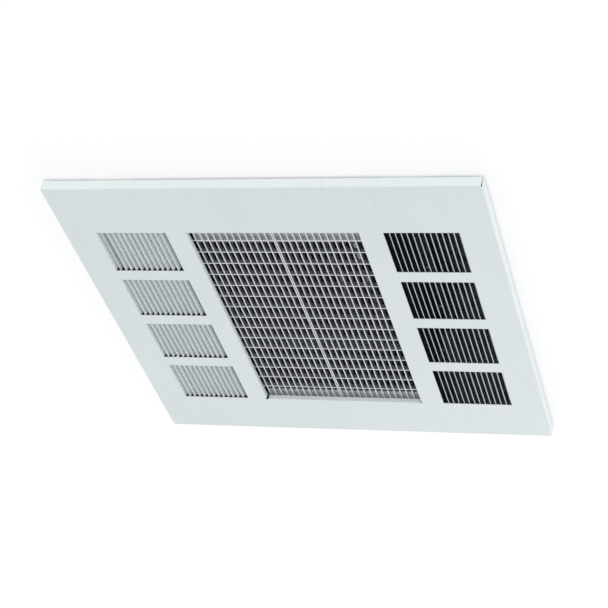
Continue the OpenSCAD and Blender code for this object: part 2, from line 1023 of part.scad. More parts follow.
module inlet_ring() {
    rotate_extrude($fn = 96) {
        translate([throat_r + bell_r, deck_top - bell_r])
            intersection() {
                difference() {
                    circle(bell_r);
                    circle(bell_r - deck_sheet);
                }
                translate([-bell_r, 0])
                    square(bell_r);
            }
        translate([throat_r, deck_top - bell_r - collar_height])
            square([deck_sheet, collar_height]);
    }
}

// Screws through the box into the deck's end flanges: local Z points into the box
module at_deck_screws() {
    both_ends()
        both_sides(deck_screw_place)
            translate([0, box_half, deck_height - deck_flange / 2])
                rotate([90, 0, 0])
                    children();
}

module fan_deck() {
    color(galvanised)
        difference() {
            union() {
                translate([0, 0, deck_height])
                    linear_extrude(deck_sheet)
                        difference() {
                            square(2 * [deck_half_w, deck_half_l], center = true);
                            translate([0, field_offset])
                                circle(throat_r + bell_r, $fn = 96);
                        }
                both_ends() {
                    translate([-deck_half_w, deck_half_l - deck_sheet, deck_height - deck_flange])
                        cube([2 * deck_half_w, deck_sheet, deck_flange]);
                    translate([deck_half_w - deck_sheet, -deck_half_l + stiffener_inset, deck_height])
                        cube([deck_sheet, 2 * (deck_half_l - stiffener_inset), stiffener_height]);
                }
                translate([0, field_offset, 0])
                    inlet_ring();
            }
            translate([lead_x, lead_y, deck_height])
                sheet_hole(deck_sheet, lead_r + lead_rim);
            at_deck_screws()
                sheet_hole(box_sheet + lap_gap + deck_sheet, screw_hole_r);
            at_duct_screws()
                sheet_hole(duct_sheet + deck_sheet, screw_hole_r);
            at_bracket_screws()
                sheet_hole(strap_sheet + deck_sheet, screw_hole_r);
        }
}

module deck_screws() {
    color(zinc)
        at_deck_screws()
            pan_screw(box_sheet + deck_sheet + screw_grip);
}

// Motor bracket: a strap over the inlet, with a foot at each end

// Screws through the bracket's feet into the deck: local Z points down
module at_bracket_screws() {
    for (side = [-1, 1], y = [-strap_width / 3, strap_width / 3])
        translate([side * (strap_leg_x - strap_sheet + strap_foot * 0.68), field_offset + y, deck_top + strap_sheet])
            rotate([180, 0, 0])
                children();
}

module at_motor_studs() {
    for (sx = [-1, 1], sy = [-1, 1])
        translate([sx * motor_stud_place, field_offset + sy * motor_stud_place, 0])
            children();
}

module motor_bracket() {
    color(galvanised)
        difference() {
            translate([0, field_offset, 0])
                rotate([90, 0, 0])
                    linear_extrude(strap_width, center = true) {
                        translate([-strap_leg_x, strap_z])
                            square([2 * strap_leg_x, strap_sheet]);
                        for (side = [0, 1])
                            mirror([side, 0])
                                translate([strap_leg_x - strap_sheet, deck_top]) {
                                    square([strap_sheet, strap_rise + strap_sheet]);
                                    square([strap_foot, strap_sheet]);
                                }
                    }
            translate([0, field_offset, strap_z])
                sheet_hole(strap_sheet, hub_r);
            at_motor_studs()
                translate([0, 0, strap_z])
                    sheet_hole(strap_sheet, motor_stud_r + touch_gap);
            at_bracket_screws()
                sheet_hole(strap_sheet, screw_hole_r);
        }
}

module bracket_screws() {
    color(zinc)
        at_bracket_screws()
            pan_screw(strap_sheet + deck_sheet + screw_grip);
}

module motor_grommets() {
    color(rubber_black)
        at_motor_studs()
            translate([0, 0, strap_z + strap_sheet])
                difference() {
                    cylinder(h = grommet_height, r = grommet_r);
                    sheet_hole(grommet_height, motor_stud_r + running_gap);
                }
}

// Motor

module motor_shell() {
    color(dark)
        translate([0, field_offset, shell_z])
            difference() {
                cylinder(h = motor_height, r = motor_r, $fn = 72);
                sheet_hole(motor_height, shaft_r + rotor_gap);
            }
}

module motor_end_bells() {
    color(steel)
        difference() {
            translate([0, field_offset, 0]) {
                translate([0, 0, bell_z])
                    cylinder(h = bell_height, r1 = motor_r * 0.8, r2 = motor_r + bell_overhang, $fn = 72);
                translate([0, 0, shell_z + motor_height])
                    cylinder(h = bell_height, r1 = motor_r + bell_overhang, r2 = motor_r * 0.7, $fn = 72);
            }
            translate([0, field_offset, bell_z])
                sheet_hole(bell_height, bearing_r);
            translate([0, field_offset, shell_z + motor_height - cut])
                cylinder(h = bearing_height + cut, r = bearing_r);
            at_motor_studs()
                translate([0, 0, bell_z - cut])
                    cylinder(h = bell_height / 2 + cut, r = motor_stud_r + running_gap);
        }
}

module motor_bearings() {
    color(steel)
        for (z = [shell_z - bearing_height, shell_z + motor_height])
            translate([0, field_offset, z])
                difference() {
                    cylinder(h = bearing_height, r = bearing_r - running_gap);
                    sheet_hole(bearing_height, shaft_r + running_gap);
                }
}

// Studs that hang from the lower end bell through the grommets, with a nut under the bracket
module motor_studs() {
    low = strap_z - nut_height - stud_end;
    color(zinc)
        at_motor_studs() {
            translate([0, 0, low])
                cylinder(h = bell_z + bell_height / 2 - low, r = motor_stud_r);
            translate([0, 0, strap_z - nut_height])
                cylinder(h = nut_height, d = motor_nut_across / cos(30), $fn = 6);
        }
}

module motor_shaft() {
    low = hub_bottom - shaft_end;
    color(steel)
        translate([0, field_offset, low])
            cylinder(h = shell_z + motor_height + bearing_height - touch_gap - low, r = shaft_r);
}

// Fan: hub, spider, blades and rivets

module fan_hub() {
    color(steel)
        translate([0, field_offset, hub_bottom])
            difference() {
                union() {
                    cylinder(h = hub_height, r = hub_r);
                    translate([0, 0, hub_height / 2 - hub_flange_sheet])
                        cylinder(h = hub_flange_sheet, r = hub_r + hub_flange);
                }
                sheet_hole(hub_height, shaft_r + running_gap);
                translate([0, 0, hub_height * 0.75])
                    rotate([0, 90, 0])
                        cylinder(h = hub_r + cut, r = setscrew_r);
            }
}

module at_blades() {
    translate([0, field_offset, hub_seat])
        for (i = [0:fan_blade_count - 1])
            rotate([0, 0, i * 360 / fan_blade_count])
                children();
}

module at_rivets() {
    at_blades()
        for (share = rivet_place_shares)
            translate([share * spider_r, 0, 0])
                children();
}

// Spider: a disc on the hub's flange with one arm to each blade
module fan_spider() {
    arm_end = spider_r - spider_arm / 2;
    color(steel)
        difference() {
            union() {
                translate([0, field_offset, hub_seat])
                    cylinder(h = spider_sheet, r = hub_r + hub_flange + spider_sheet);
                at_blades() {
                    translate([0, -spider_arm / 2, 0])
                        cube([arm_end, spider_arm, spider_sheet]);
                    translate([arm_end, 0, 0])
                        cylinder(h = spider_sheet, r = spider_arm / 2);
                }
            }
            translate([0, field_offset, hub_seat])
                sheet_hole(spider_sheet, hub_r + lap_gap);
            at_rivets()
                sheet_hole(spider_sheet, rivet_r * 0.6 + running_gap);
        }
}

// Planform of a blade: narrow at the root, with rounded corners at the tip
module blade_outline() {
    half = blade_chord / 2;
    shoulder = fan_r - blade_corner;
    intersection() {
        difference() {
            circle(fan_r, $fn = 96);
            circle(blade_root);
        }
        union() {
            polygon([
                [blade_root / 2, -blade_root_chord / 2],
                [spider_r, -blade_root_chord / 2],
                [shoulder - blade_corner, -half],
                [shoulder, -half],
                [fan_r, blade_corner - half],
                [fan_r, half - blade_corner],
                [shoulder, half],
                [shoulder - blade_corner, half],
                [spider_r, blade_root_chord / 2],
                [blade_root / 2, blade_root_chord / 2]
            ]);
            for (side = [-1, 1])
                translate([shoulder, side * (half - blade_corner)])
                    circle(blade_corner);
        }
    }
}

// One cambered blade along +X, before it is pitched
module blade_blank() {
    intersection() {
        translate([0, 0, -blade_camber_r])
            rotate([0, 90, 0])
                difference() {
                    cylinder(h = fan_r, r = blade_camber_r, $fn = 96);
                    cylinder(h = fan_r, r = blade_camber_r - blade_sheet, $fn = 96);
                }
        translate([0, 0, -blade_camber_r / 2])
            linear_extrude(blade_camber_r)
                blade_outline();
    }
}

module fan_blades() {
    seat = spider_sheet + lap_gap;
    color(pale_bar)
        difference() {
            at_blades()
                translate([0, 0, seat])
                    difference() {
                        union() {
                            rotate([-blade_pitch, 0, 0])
                                blade_blank();
                            translate([blade_root, -spider_arm / 2, 0])
                                cube([spider_r - blade_root, spider_arm, blade_sheet]);
                        }
                        translate([0, -fan_r, -fan_r])
                            cube([spider_r + touch_gap, 2 * fan_r, fan_r]);
                    }
            at_rivets()
                sheet_hole(seat + 2 * blade_sheet, rivet_r * 0.6 + running_gap);
        }
}

// Rivets: a head under the spider and a shank up through the blade
module fan_rivets() {
    color(zinc)
        at_rivets() {
            translate([0, 0, -rivet_head])
                cylinder(h = rivet_head, r1 = rivet_r * 0.7, r2 = rivet_r, $fn = 24);
            cylinder(h = spider_sheet + lap_gap + blade_sheet, r = rivet_r * 0.6, $fn = 24);
        }
}

// Heating elements: a finned tube bent into a U, with both ends through the duct's near wall

// Finned leg along +Y from the origin: the tube and its fins are one turned solid
module finned_leg(length) {
    rotate([-90, 0, 0])
        rotate_extrude($fn = 36) {
            square([tube_r, length]);
            for (i = [0:fin_count - 1])
                translate([0, fin_start - terminal_y + i * fin_pitch])
                    square([fin_r, fin_sheet]);
        }
}

module heating_element(x) {
    color(dark)
        translate([x, 0, element_height]) {
            both_sides(bend_r)
                translate([0, terminal_y, 0])
                    finned_leg(leg_end - terminal_y);
            translate([0, leg_end, 0])
                rotate_extrude(angle = 180, $fn = 36)
                    translate([bend_r, 0])
                        circle(tube_r);
        }
}

module heating_element_left() {
    heating_element(-2 * leg_pitch);
}

module heating_element_middle() {
    heating_element(0);
}

module heating_element_right() {
    heating_element(2 * leg_pitch);
}

// Support plate across the duct, with the legs in its holes
module element_support() {
    color(galvanised)
        translate([0, support_y, element_height])
            rotate([90, 0, 0])
                linear_extrude(duct_sheet, center = true)
                    difference() {
                        square(2 * [duct_half_w - lap_gap, fin_r], center = true);
                        for (x = leg_places)
                            translate([x, 0])
                                circle(tube_r + lap_gap);
                    }
}

// Terminal places on the duct's near wall: local Z points out of the duct
module at_terminals() {
    for (x = leg_places)
        translate([x, duct_near - duct_sheet, element_height])
            rotate([90, 0, 0])
                children();
}

module element_fittings() {
    color(brass_tone)
        at_terminals()
            difference() {
                cylinder(h = fitting_height, r = fitting_r, $fn = 6);
                sheet_hole(fitting_height, tube_r + running_gap);
            }
}

module terminal_insulators() {
    color(porcelain)
        at_terminals()
            translate([0, 0, fitting_height]) {
                cylinder(h = insulator_length * 0.4, r = insulator_r);
                cylinder(h = insulator_length, r = insulator_r * 0.7);
            }
}

module terminal_studs() {
    color(zinc)
        at_terminals()
            translate([0, 0, fitting_height + insulator_length])
                cylinder(h = terminal_length, r = terminal_r);
}

// Flat links that join the terminals of neighbouring elements
module terminal_links() {
    link_y = terminal_y - insulator_length - terminal_length / 3;
    color(brass_tone)
        for (side = [-1, 1])
            translate([side * leg_pitch, link_y, element_height])
                rotate([90, 0, 0])
                    linear_extrude(link_sheet)
                        difference() {
                            square([leg_pitch + link_width, link_width], center = true);
                            both_sides(leg_pitch / 2)
                                circle(terminal_r + running_gap);
                        }
}

// Wiring cover: a shallow tray under the compartment at the hinge edge

module wiring_cover() {
    slot = cover_tab + 2 * touch_gap;
    color(galvanised)
        difference() {
            translate([-cover_half_w, cover_near, 0])
                cube([2 * cover_half_w, cover_length, cover_rise]);
            translate([-cover_half_w + cover_sheet, cover_near + cover_sheet, cover_sheet])
                cube([2 * (cover_half_w - cover_sheet), cover_length - 2 * cover_sheet, cover_rise]);
            translate([switch_x, cover_mid, cover_sheet / 2])
                cube([rocker_w + 2 * bezel_margin, rocker_l + 2 * bezel_margin, cover_sheet + 2 * cut], center = true);
            translate([limit_x, cover_mid, 0])
                sheet_hole(cover_sheet, button_r + touch_gap);
            at_cover_screws() {
                sheet_hole(cover_sheet, screw_hole_r);
                translate([-slot / 2, -cover_screw_inset - cut, cover_sheet])
                    cube([slot, cover_sheet + 2 * cut, cover_rise]);
            }
        }
}

module cover_screws() {
    color(zinc)
        at_cover_screws()
            pan_screw(cover_sheet + frame_sheet + screw_grip);
}

// Disconnect switch: snapped into the cover, with a bezel below it and a well for the rocker
module disconnect_switch() {
    body = [rocker_w, rocker_l] + 2 * (bezel_margin - lap_gap) * [1, 1];
    well = [rocker_w, rocker_l] + 2 * touch_gap * [1, 1];
    color(rubber_black)
        translate([switch_x, cover_mid, 0])
            difference() {
                union() {
                    translate([0, 0, -bezel_height])
                        linear_extrude(bezel_height)
                            square(body + 2 * bezel_lip * [1, 1], center = true);
                    translate([0, 0, -lap_gap])
                        linear_extrude(switch_height)
                            square(body, center = true);
                }
                translate([0, 0, -bezel_height - cut])
                    linear_extrude(rocker_pivot_z + bezel_height + cut)
                        square(well, center = true);
                translate([0, 0, rocker_pivot_z]) {
                    rod_along_x(well[0], well[1] / 2);
                    rod_along_x(rocker_w + 2 * (rocker_pin_reach + touch_gap), rocker_pin_r + running_gap);
                }
            }
}

// Rocker: two flats that meet at a shallow angle, on a cross pin
module disconnect_rocker() {
    half = rocker_l / 2;
    color(dark)
        translate([switch_x, cover_mid, rocker_pivot_z]) {
            drawn_along_x(rocker_w)
                intersection() {
                    circle(half);
                    polygon([
                        [-half, -rocker_height * 0.78],
                        [0, -rocker_height * 0.42],
                        [half, -rocker_height * 0.2],
                        [half, rocker_height * 0.3],
                        [-half, rocker_height * 0.3]
                    ]);
                }
            rod_along_x(rocker_w + 2 * rocker_pin_reach, rocker_pin_r);
        }
}

module limit_control() {
    color(dark)
        translate([limit_x, cover_mid, cover_sheet])
            difference() {
                translate([-limit_w / 2, -limit_l / 2, 0])
                    cube([limit_w, limit_l, limit_height]);
                translate([0, 0, -cut])
                    cylinder(h = button_length + cut, r = button_r + running_gap);
            }
}

module reset_button() {
    color(button_red)
        translate([limit_x, cover_mid, -button_reach])
            cylinder(h = button_length, r = button_r);
}

// Fan delay switch: a disc thermostat through the duct's near wall
module at_delay_switch() {
    translate([delay_x, duct_near - duct_sheet, element_height + 2 * fin_r])
        rotate([90, 0, 0])
            children();
}

module fan_delay_switch() {
    color(dark)
        at_delay_switch() {
            translate([0, 0, -duct_sheet - delay_flange])
                cylinder(h = delay_flange + duct_sheet, r = delay_r - lap_gap);
            cylinder(h = duct_sheet, r = delay_r + delay_flange);
            cylinder(h = delay_height, r = delay_r - lap_gap);
            both_sides(delay_r / 2)
                translate([0, 0, delay_height])
                    linear_extrude(delay_blade)
                        square([link_sheet, delay_blade], center = true);
        }
}

// Contactor and terminal block stand on the box's near wall

module power_contactor() {
    color(dark)
        translate([contactor_x, -box_inner, block_z])
            difference() {
                cube([contactor_w, contactor_depth, contactor_height]);
                for (i = [0:2])
                    translate([
                        contactor_w / 2 + (i - 1) * 1.4 * contactor_slot - contactor_slot / 2,
                        contactor_depth - contactor_slot,
                        contactor_height - contactor_slot
                    ])
                        cube([contactor_slot, contactor_slot + cut, contactor_slot + cut]);
            }
}

module terminal_block() {
    bay = (block_w - 4 * block_wall) / 3;
    color(porcelain)
        translate([lead_x - block_w / 2, -box_inner, block_z])
            difference() {
                cube([block_w, block_depth, block_height]);
                for (i = [0:2])
                    translate([block_wall + i * (bay + block_wall), block_depth - 2 * block_wall, -cut])
                        cube([bay, 2 * block_wall + cut, block_height + 2 * cut]);
            }
}

module ground_lug() {
    color(brass_tone)
        translate([lug_x, -box_inner, lug_z])
            rotate([-90, 0, 0]) {
                translate([-lug_w / 2, -lug_w / 2, 0])
                    cube([lug_w, lug_w, lug_w * 0.8]);
                cylinder(h = lug_w * 1.2, r = lug_w * 0.3);
            }
}

// Motor lead: from the motor's side to the hinge edge, then down through the deck to the terminal block

module lead_elbow() {
    rotate_extrude(angle = 90, $fn = 36)
        translate([lead_bend, 0])
            circle(lead_r, $fn = 24);
}

module motor_lead() {
    exit_y = field_offset - motor_stud_place;
    exit_x = sqrt(motor_r * motor_r - motor_stud_place * motor_stud_place);
    low = block_z + block_height;
    color(rubber_black) {
        difference() {
            translate([2 * lead_r - exit_x, exit_y, lead_z])
                rotate([0, -90, 0])
                    cylinder(h = 2 * lead_r - lead_x - lead_bend - exit_x, r = lead_r, $fn = 24);
            translate([0, field_offset, shell_z])
                sheet_hole(motor_height, motor_r + lap_gap);
        }
        translate([lead_x + lead_bend, exit_y - lead_bend, lead_z])
            rotate([0, 0, 90])
                lead_elbow();
        translate([lead_x, lead_y + lead_bend, lead_z])
            rotate([-90, 0, 0])
                cylinder(h = exit_y - 2 * lead_bend - lead_y, r = lead_r, $fn = 24);
        translate([lead_x, lead_y + lead_bend, lead_z - lead_bend])
            rotate([90, 0, -90])
                lead_elbow();
        translate([lead_x, lead_y, low])
            cylinder(h = lead_z - lead_bend - low, r = lead_r, $fn = 24);
    }
}

module lead_grommet() {
    rim_r = lead_r + lead_rim;
    color(rubber_black)
        translate([lead_x, lead_y, deck_height - grommet_lip])
            difference() {
                union() {
                    cylinder(h = grommet_lip, r = rim_r + grommet_lip);
                    cylinder(h = deck_sheet + 2 * grommet_lip, r = rim_r - lap_gap);
                    translate([0, 0, grommet_lip + deck_sheet])
                        cylinder(h = grommet_lip, r = rim_r + grommet_lip);
                }
                sheet_hole(deck_sheet + 2 * grommet_lip, lead_r + running_gap);
            }
}

front_panel();
grille_bars();
grille_cross_bars();
grille_end_channels();
weld_studs();
stud_nuts();
panel_hinge_leaves();
frame_hinge_leaves();
hinge_pins();
latch_tabs();
latch_screws();
mounting_frame();
frame_screws();
box_top_plate();
box_side_walls();
box_end_walls();
box_rivets();
hanger_brackets();
hanger_screws();
air_duct();
duct_screws();
fan_deck();
deck_screws();
motor_bracket();
bracket_screws();
motor_grommets();
motor_shell();
motor_end_bells();
motor_bearings();
motor_studs();
motor_shaft();
fan_hub();
fan_spider();
fan_blades();
fan_rivets();
heating_element_left();
heating_element_middle();
heating_element_right();
element_support();
element_fittings();
terminal_insulators();
terminal_studs();
terminal_links();
wiring_cover();
cover_screws();
disconnect_switch();
disconnect_rocker();
limit_control();
reset_button();
fan_delay_switch();
power_contactor();
terminal_block();
ground_lug();
motor_lead();
lead_grommet();
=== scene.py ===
"""Looks of a recessed, fan-forced ceiling heater, built round its packed metal parts."""

import math

import bmesh
import bpy
from mathutils import Matrix, Vector


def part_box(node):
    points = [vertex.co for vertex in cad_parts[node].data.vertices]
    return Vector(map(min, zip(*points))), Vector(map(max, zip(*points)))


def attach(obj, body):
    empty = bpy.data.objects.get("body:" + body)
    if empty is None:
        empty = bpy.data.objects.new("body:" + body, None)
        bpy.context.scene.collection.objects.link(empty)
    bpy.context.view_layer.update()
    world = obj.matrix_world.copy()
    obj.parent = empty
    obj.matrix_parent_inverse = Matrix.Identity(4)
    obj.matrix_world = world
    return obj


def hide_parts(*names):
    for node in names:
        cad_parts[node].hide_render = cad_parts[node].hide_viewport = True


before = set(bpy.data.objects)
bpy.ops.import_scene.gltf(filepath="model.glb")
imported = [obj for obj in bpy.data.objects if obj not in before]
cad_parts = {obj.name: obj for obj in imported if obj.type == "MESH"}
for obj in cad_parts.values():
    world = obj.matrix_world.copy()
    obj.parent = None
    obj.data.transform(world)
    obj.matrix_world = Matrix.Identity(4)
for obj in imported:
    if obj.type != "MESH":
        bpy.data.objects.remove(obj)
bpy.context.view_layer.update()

bl_info = {
    "name": "Ceiling Heater",
    "version": (1, 0, 0),
    "blender": (4, 5, 0),
    "location": "View3D > Sidebar > Heater",
    "description": "Finishes, small fittings and stage for a recessed ceiling heater",
    "category": "Object",
}

MM = 0.001

# Camera of the product picture: a long lens below the ceiling, in front and to the right
CAMERA_PLACE = Vector((0.8219, -2.1486, -1.4653))
CAMERA_RIGHT = Vector((0.9522, 0.2451, 0.1822))
CAMERA_DOWN = Vector((0.0110, 0.5687, -0.8224))
CAMERA_FORWARD = Vector((-0.3052, 0.7852, 0.5389))
LENS_MM = 114.07
SENSOR_MM = 36.0

# The ceiling board: half its hole for the back box, and how far it reaches from the middle
BOARD_HOLE_HALF = 0.281
BOARD_REACH = 6.0

# Where each soft lamp hangs, and how wide it is, in metres
LAMPS = {
    "side": ((2.6, -0.9, -0.75), 1.6),
    "front": ((0.2, -2.8, -0.8), 1.8),
    "back": ((-0.1, 3.4, -0.62), 1.2),
    "top": ((0.6, 0.8, 2.6), 2.4),
}

# Sheet metal screws: pan head with a cross recess, rolled thread
SCREW_HEAD = 2.2 * MM
SCREW_HEAD_R = 3.8 * MM
SCREW_R = 2 * MM
SCREW_CORE_R = 1.55 * MM
SCREW_PITCH = 1.3 * MM
RECESS_TAPER = 0.4
SCREW_HEAD_ROUND = 0.45 * SCREW_HEAD
SCREW_NODES = (
    "frame_screws",
    "hanger_screws",
    "duct_screws",
    "deck_screws",
    "bracket_screws",
    "cover_screws",
    "latch_screws",
)

# Pulled rivets
RIVET_HEAD = 1.1 * MM
RIVET_HEAD_R = 3 * MM
RIVET_R = 1.6 * MM
RIVET_TAIL = 1.2 * MM
RIVET_TAIL_R = 2.1 * MM
RIVET_HEAD_ROUND = 0.8 * RIVET_HEAD
MANDREL_INSET = 0.45 * RIVET_HEAD_R
MANDREL_DEPTH = 0.6 * RIVET_HEAD

# How finely round things are divided
HEAD_SIDES = 24
RIVET_SIDES = 20
SHANK_SIDES = 16
TUBE_SIDES = 20
BEND_STEPS = 20
ROUND_STEPS = 4
TAIL_RINGS = 8

# A wound ridge or fin starts a little inside its core
ROOT_SHARE = 0.97
FIN_ROOT_SHARE = 0.95

# No two screws or rivets stop at the same angle
HEAD_TURN = math.radians(37)

# Edges that bend less than this are shaded smooth
SMOOTH_ANGLE = math.radians(35)

# A face lies flat across an axis when its normal has more than this along it
FLAT = 0.99

# Finned elements
TUBE_R = 4 * MM
FIN_START = 29 * MM
FIN_STEPS = 28
ELEMENT_NODES = ("heating_element_left", "heating_element_middle", "heating_element_right")

# The louvre banks, from the middle outwards, and the panel's face
BANK_INNER = 0.1534
BANK_OUTER = 0.256
PANEL_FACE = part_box("front_panel")[0].z

# The louvres' sheared edges lie between these heights above the face; painted shade darkens them
# there
EDGE_START = 0.03 * MM
EDGE_END = 0.77 * MM

# Distance from the middle times sideways normal, above which a face looks outwards
LEAST_OUTWARD = 0.05

# Corners closer than this are one corner
JOIN_DISTANCE = 0.001 * MM


def shade(red, green, blue):
    """A colour written in screen levels from 0 to 255, as linear light."""

    def linear(level):
        share = level / 255
        if share <= 0.04045:
            return share / 12.92
        return ((share + 0.055) / 1.055) ** 2.4

    return (linear(red), linear(green), linear(blue))


# Settings


def colour(name, note, value):
    """A colour that the user can change."""
    return bpy.props.FloatVectorProperty(
        name=name, description=note, default=value, subtype="COLOR", size=3, min=0.0, max=1.0
    )


def power(name, note, watts):
    """A lamp's power that the user can change."""
    return bpy.props.FloatProperty(
        name=name, description=note, default=watts, min=0.0, subtype="POWER"
    )


def strength(name, note, value):
    """A plain amount of light that the user can change."""
    return bpy.props.FloatProperty(
        name=name, description=note, default=value, min=0.0, subtype="FACTOR", soft_max=2.0
    )


def small_length(name, note, value):
    """A small length that the user can change."""
    return bpy.props.FloatProperty(
        name=name, description=note, default=value, min=0.0, precision=5, unit="LENGTH"
    )


class HeaterSizes(bpy.types.PropertyGroup):
    """Sizes of the small fittings that are modelled here."""

    fin_pitch: small_length("Fin pitch", "Rise of the fin strip in one turn", 9 * MM)
    fin_sheet: small_length("Fin sheet", "Thickness of the fin strip", 0.6 * MM)
    recess_length: small_length("Recess length", "Cross recess, from tip to tip", 4.4 * MM)
    recess_width: small_length("Recess width", "Width of one arm of the cross", 0.95 * MM)
    recess_depth: small_length("Recess depth", "Depth of the cross recess", 1.3 * MM)


class HeaterColours(bpy.types.PropertyGroup):
    """Colours of the heater's finishes."""

    enamel: colour("Enamel", "Baked enamel on panel and frame", shade(231, 239, 241))
    grille: colour("Grille", "Satin finish on the bar grille", shade(214, 217, 222))
    channel: colour("Channels", "Channels that carry the grille", shade(238, 242, 240))
    zinc_coat: colour("Galvanised sheet", "Deck and back box", shade(182, 186, 190))
    # Painted shade: the duct's galvanised sheet is made dark and blue to stand for the shade inside
    # the box
    duct: colour("Duct", "Galvanised duct, blued by heat", shade(88, 92, 110))
    hardware: colour("Hardware", "Zinc plated screws, nuts and hinges", shade(190, 189, 183))
    bright: colour("Bright steel", "Turned shaft", shade(186, 188, 192))
    aluminium: colour("Aluminium", "Fan blades and spider", shade(198, 201, 204))
    motor: colour("Motor enamel", "Satin black enamel on the motor", shade(44, 45, 47))
    element: colour("Element steel", "Heat darkened finned elements", shade(92, 89, 88))
    brass: colour("Brass", "Terminals and bushings", shade(206, 172, 98))
    porcelain: colour("Porcelain", "Glazed insulators", shade(240, 237, 226))
    rubber: colour("Rubber", "Grommets and lead jacket", shade(38, 38, 39))
    plastic: colour("Switch plastic", "Moulded switch bodies", shade(46, 46, 49))
    red: colour("Reset button", "Moulded red button", shade(176, 38, 30))


class HeaterStage(bpy.types.PropertyGroup):
    """Light and ceiling of the picture."""

    side_power: power("Side light", "Soft light from the right", 2.8)
    front_power: power("Front light", "Soft light from the front", 0.3)
    top_power: power("Top light", "Soft light above the ceiling board", 14.0)
    back_power: power("Back light", "Low light behind, for the near edge's shadow", 20.0)
    ambient_level: strength("Level ambient", "Light from all round at eye level", 1.22)
    ambient_steep: strength("Steep ambient", "Light from straight above and below", 0.37)
    board: colour("Ceiling board", "Plain pale ceiling", (0.9, 0.9, 0.9))
    board_glow: strength("Board glow", "Lifts the bare ceiling to white", 0.27)
    lens: bpy.props.FloatProperty(
        name="Lens", description="Focal length in millimetres", default=LENS_MM, min=1.0
    )


# Finishes


class Amount:
    """A number that varies over a surface, which Python sums turn into maths nodes."""

    def __init__(self, finish, socket):
        self.finish = finish
        self.socket = socket

    def __add__(self, other):
        return self.finish.sum("ADD", self, other)

    def __sub__(self, other):
        return self.finish.sum("SUBTRACT", self, other)

    def __rsub__(self, other):
        return self.finish.sum("SUBTRACT", other, self)

    def __mul__(self, other):
        return self.finish.sum("MULTIPLY", self, other)

    __radd__ = __add__
    __rmul__ = __mul__


class Finish:
    """One material and the nodes that it is made of."""

    def __init__(self, name):
        self.material = bpy.data.materials.new(name)
        self.material.use_nodes = True
        self.tree = self.material.node_tree
        self.tree.nodes.clear()
        self.output = self.tree.nodes.new("ShaderNodeOutputMaterial")
        self.place = self.add("ShaderNodeTexCoord").outputs["Object"]

    @classmethod
    def on_tree(cls, tree):
        """The same helper for a node tree that is no material, such as the world's."""
        helper = cls.__new__(cls)
        helper.tree = tree
        tree.nodes.clear()
        return helper

    def add(self, kind, settings=None, sockets=None):
        """A node of this type, with its settings first and then its sockets' values or links."""
        node = self.tree.nodes.new(kind)
        for name, value in (settings or {}).items():
            if name == "stops":
                self.set_stops(node.color_ramp, value)
            else:
                setattr(node, name, value)
        for name, value in (sockets or {}).items():
            self.feed(node.inputs[name], value)
        return node

    def set_stops(self, ramp, stops):
        while len(ramp.elements) < len(stops):
            ramp.elements.new(0.5)
        for element, (place, level) in zip(ramp.elements, stops):
            element.position = place
            element.color = (level, level, level, 1.0)

    def feed(self, socket, value):
        if isinstance(value, Amount):
            value = value.socket
        if isinstance(value, bpy.types.NodeSocket):
            self.tree.links.new(value, socket)
        elif isinstance(value, (tuple, list)) and len(value) == 3 and socket.type == "RGBA":
            socket.default_value = (*value, 1.0)
        else:
            socket.default_value = value

    def sum(self, operation, first, second):
        node = self.add("ShaderNodeMath", {"operation": operation}, {0: first, 1: second})
        return Amount(self, node.outputs[0])

    def stretched(self, scale):
        """The object's own coordinates, stretched before a pattern reads them."""
        sockets = {"Vector": self.place, "Scale": scale}
        return self.add("ShaderNodeMapping", None, sockets).outputs[0]

    def noise(self, scale, detail=2.0, rough=0.5, stretch=(1.0, 1.0, 1.0)):
        where = self.stretched(stretch)
        sockets = {"Vector": where, "Scale": scale, "Detail": detail, "Roughness": rough}
        return Amount(self, self.add("ShaderNodeTexNoise", None, sockets).outputs["Fac"])

    def cells(self, scale, stretch=(1.0, 1.0, 1.0)):
        where = self.stretched(stretch)
        node = self.add("ShaderNodeTexVoronoi", None, {"Vector": where, "Scale": scale})
        channels = self.add("ShaderNodeSeparateColor", None, {"Color": node.outputs["Color"]})
        return Amount(self, channels.outputs[0])

    def axis(self, kind, letter):
        """One axis of the object's own coordinates or normal."""
        vector = self.add("ShaderNodeTexCoord").outputs[kind]
        return Amount(self, self.add("ShaderNodeSeparateXYZ", None, {0: vector}).outputs[letter])

    def ramp(self, amount, stops):
        node = self.add("ShaderNodeValToRGB", {"stops": stops}, {"Fac": amount})
        return Amount(self, node.outputs["Color"])

    def mix(self, share, first, second):
        node = self.add("ShaderNodeMix", {"data_type": "RGBA"}, {0: share, 6: first, 7: second})
        return node.outputs[2]

    def bump(self, height, distance, strength=1.0):
        node = self.add(
            "ShaderNodeBump", None, {"Height": height, "Distance": distance, "Strength": strength}
        )
        return node.outputs["Normal"]

    def surface(self, sockets):
        shader = self.add("ShaderNodeBsdfPrincipled", None, sockets)
        self.feed(self.output.inputs["Surface"], shader.outputs[0])
        return self.material


def tone(value, factor):
    """The same colour, lighter or darker."""
    return tuple(min(1.0, part * factor) for part in value)


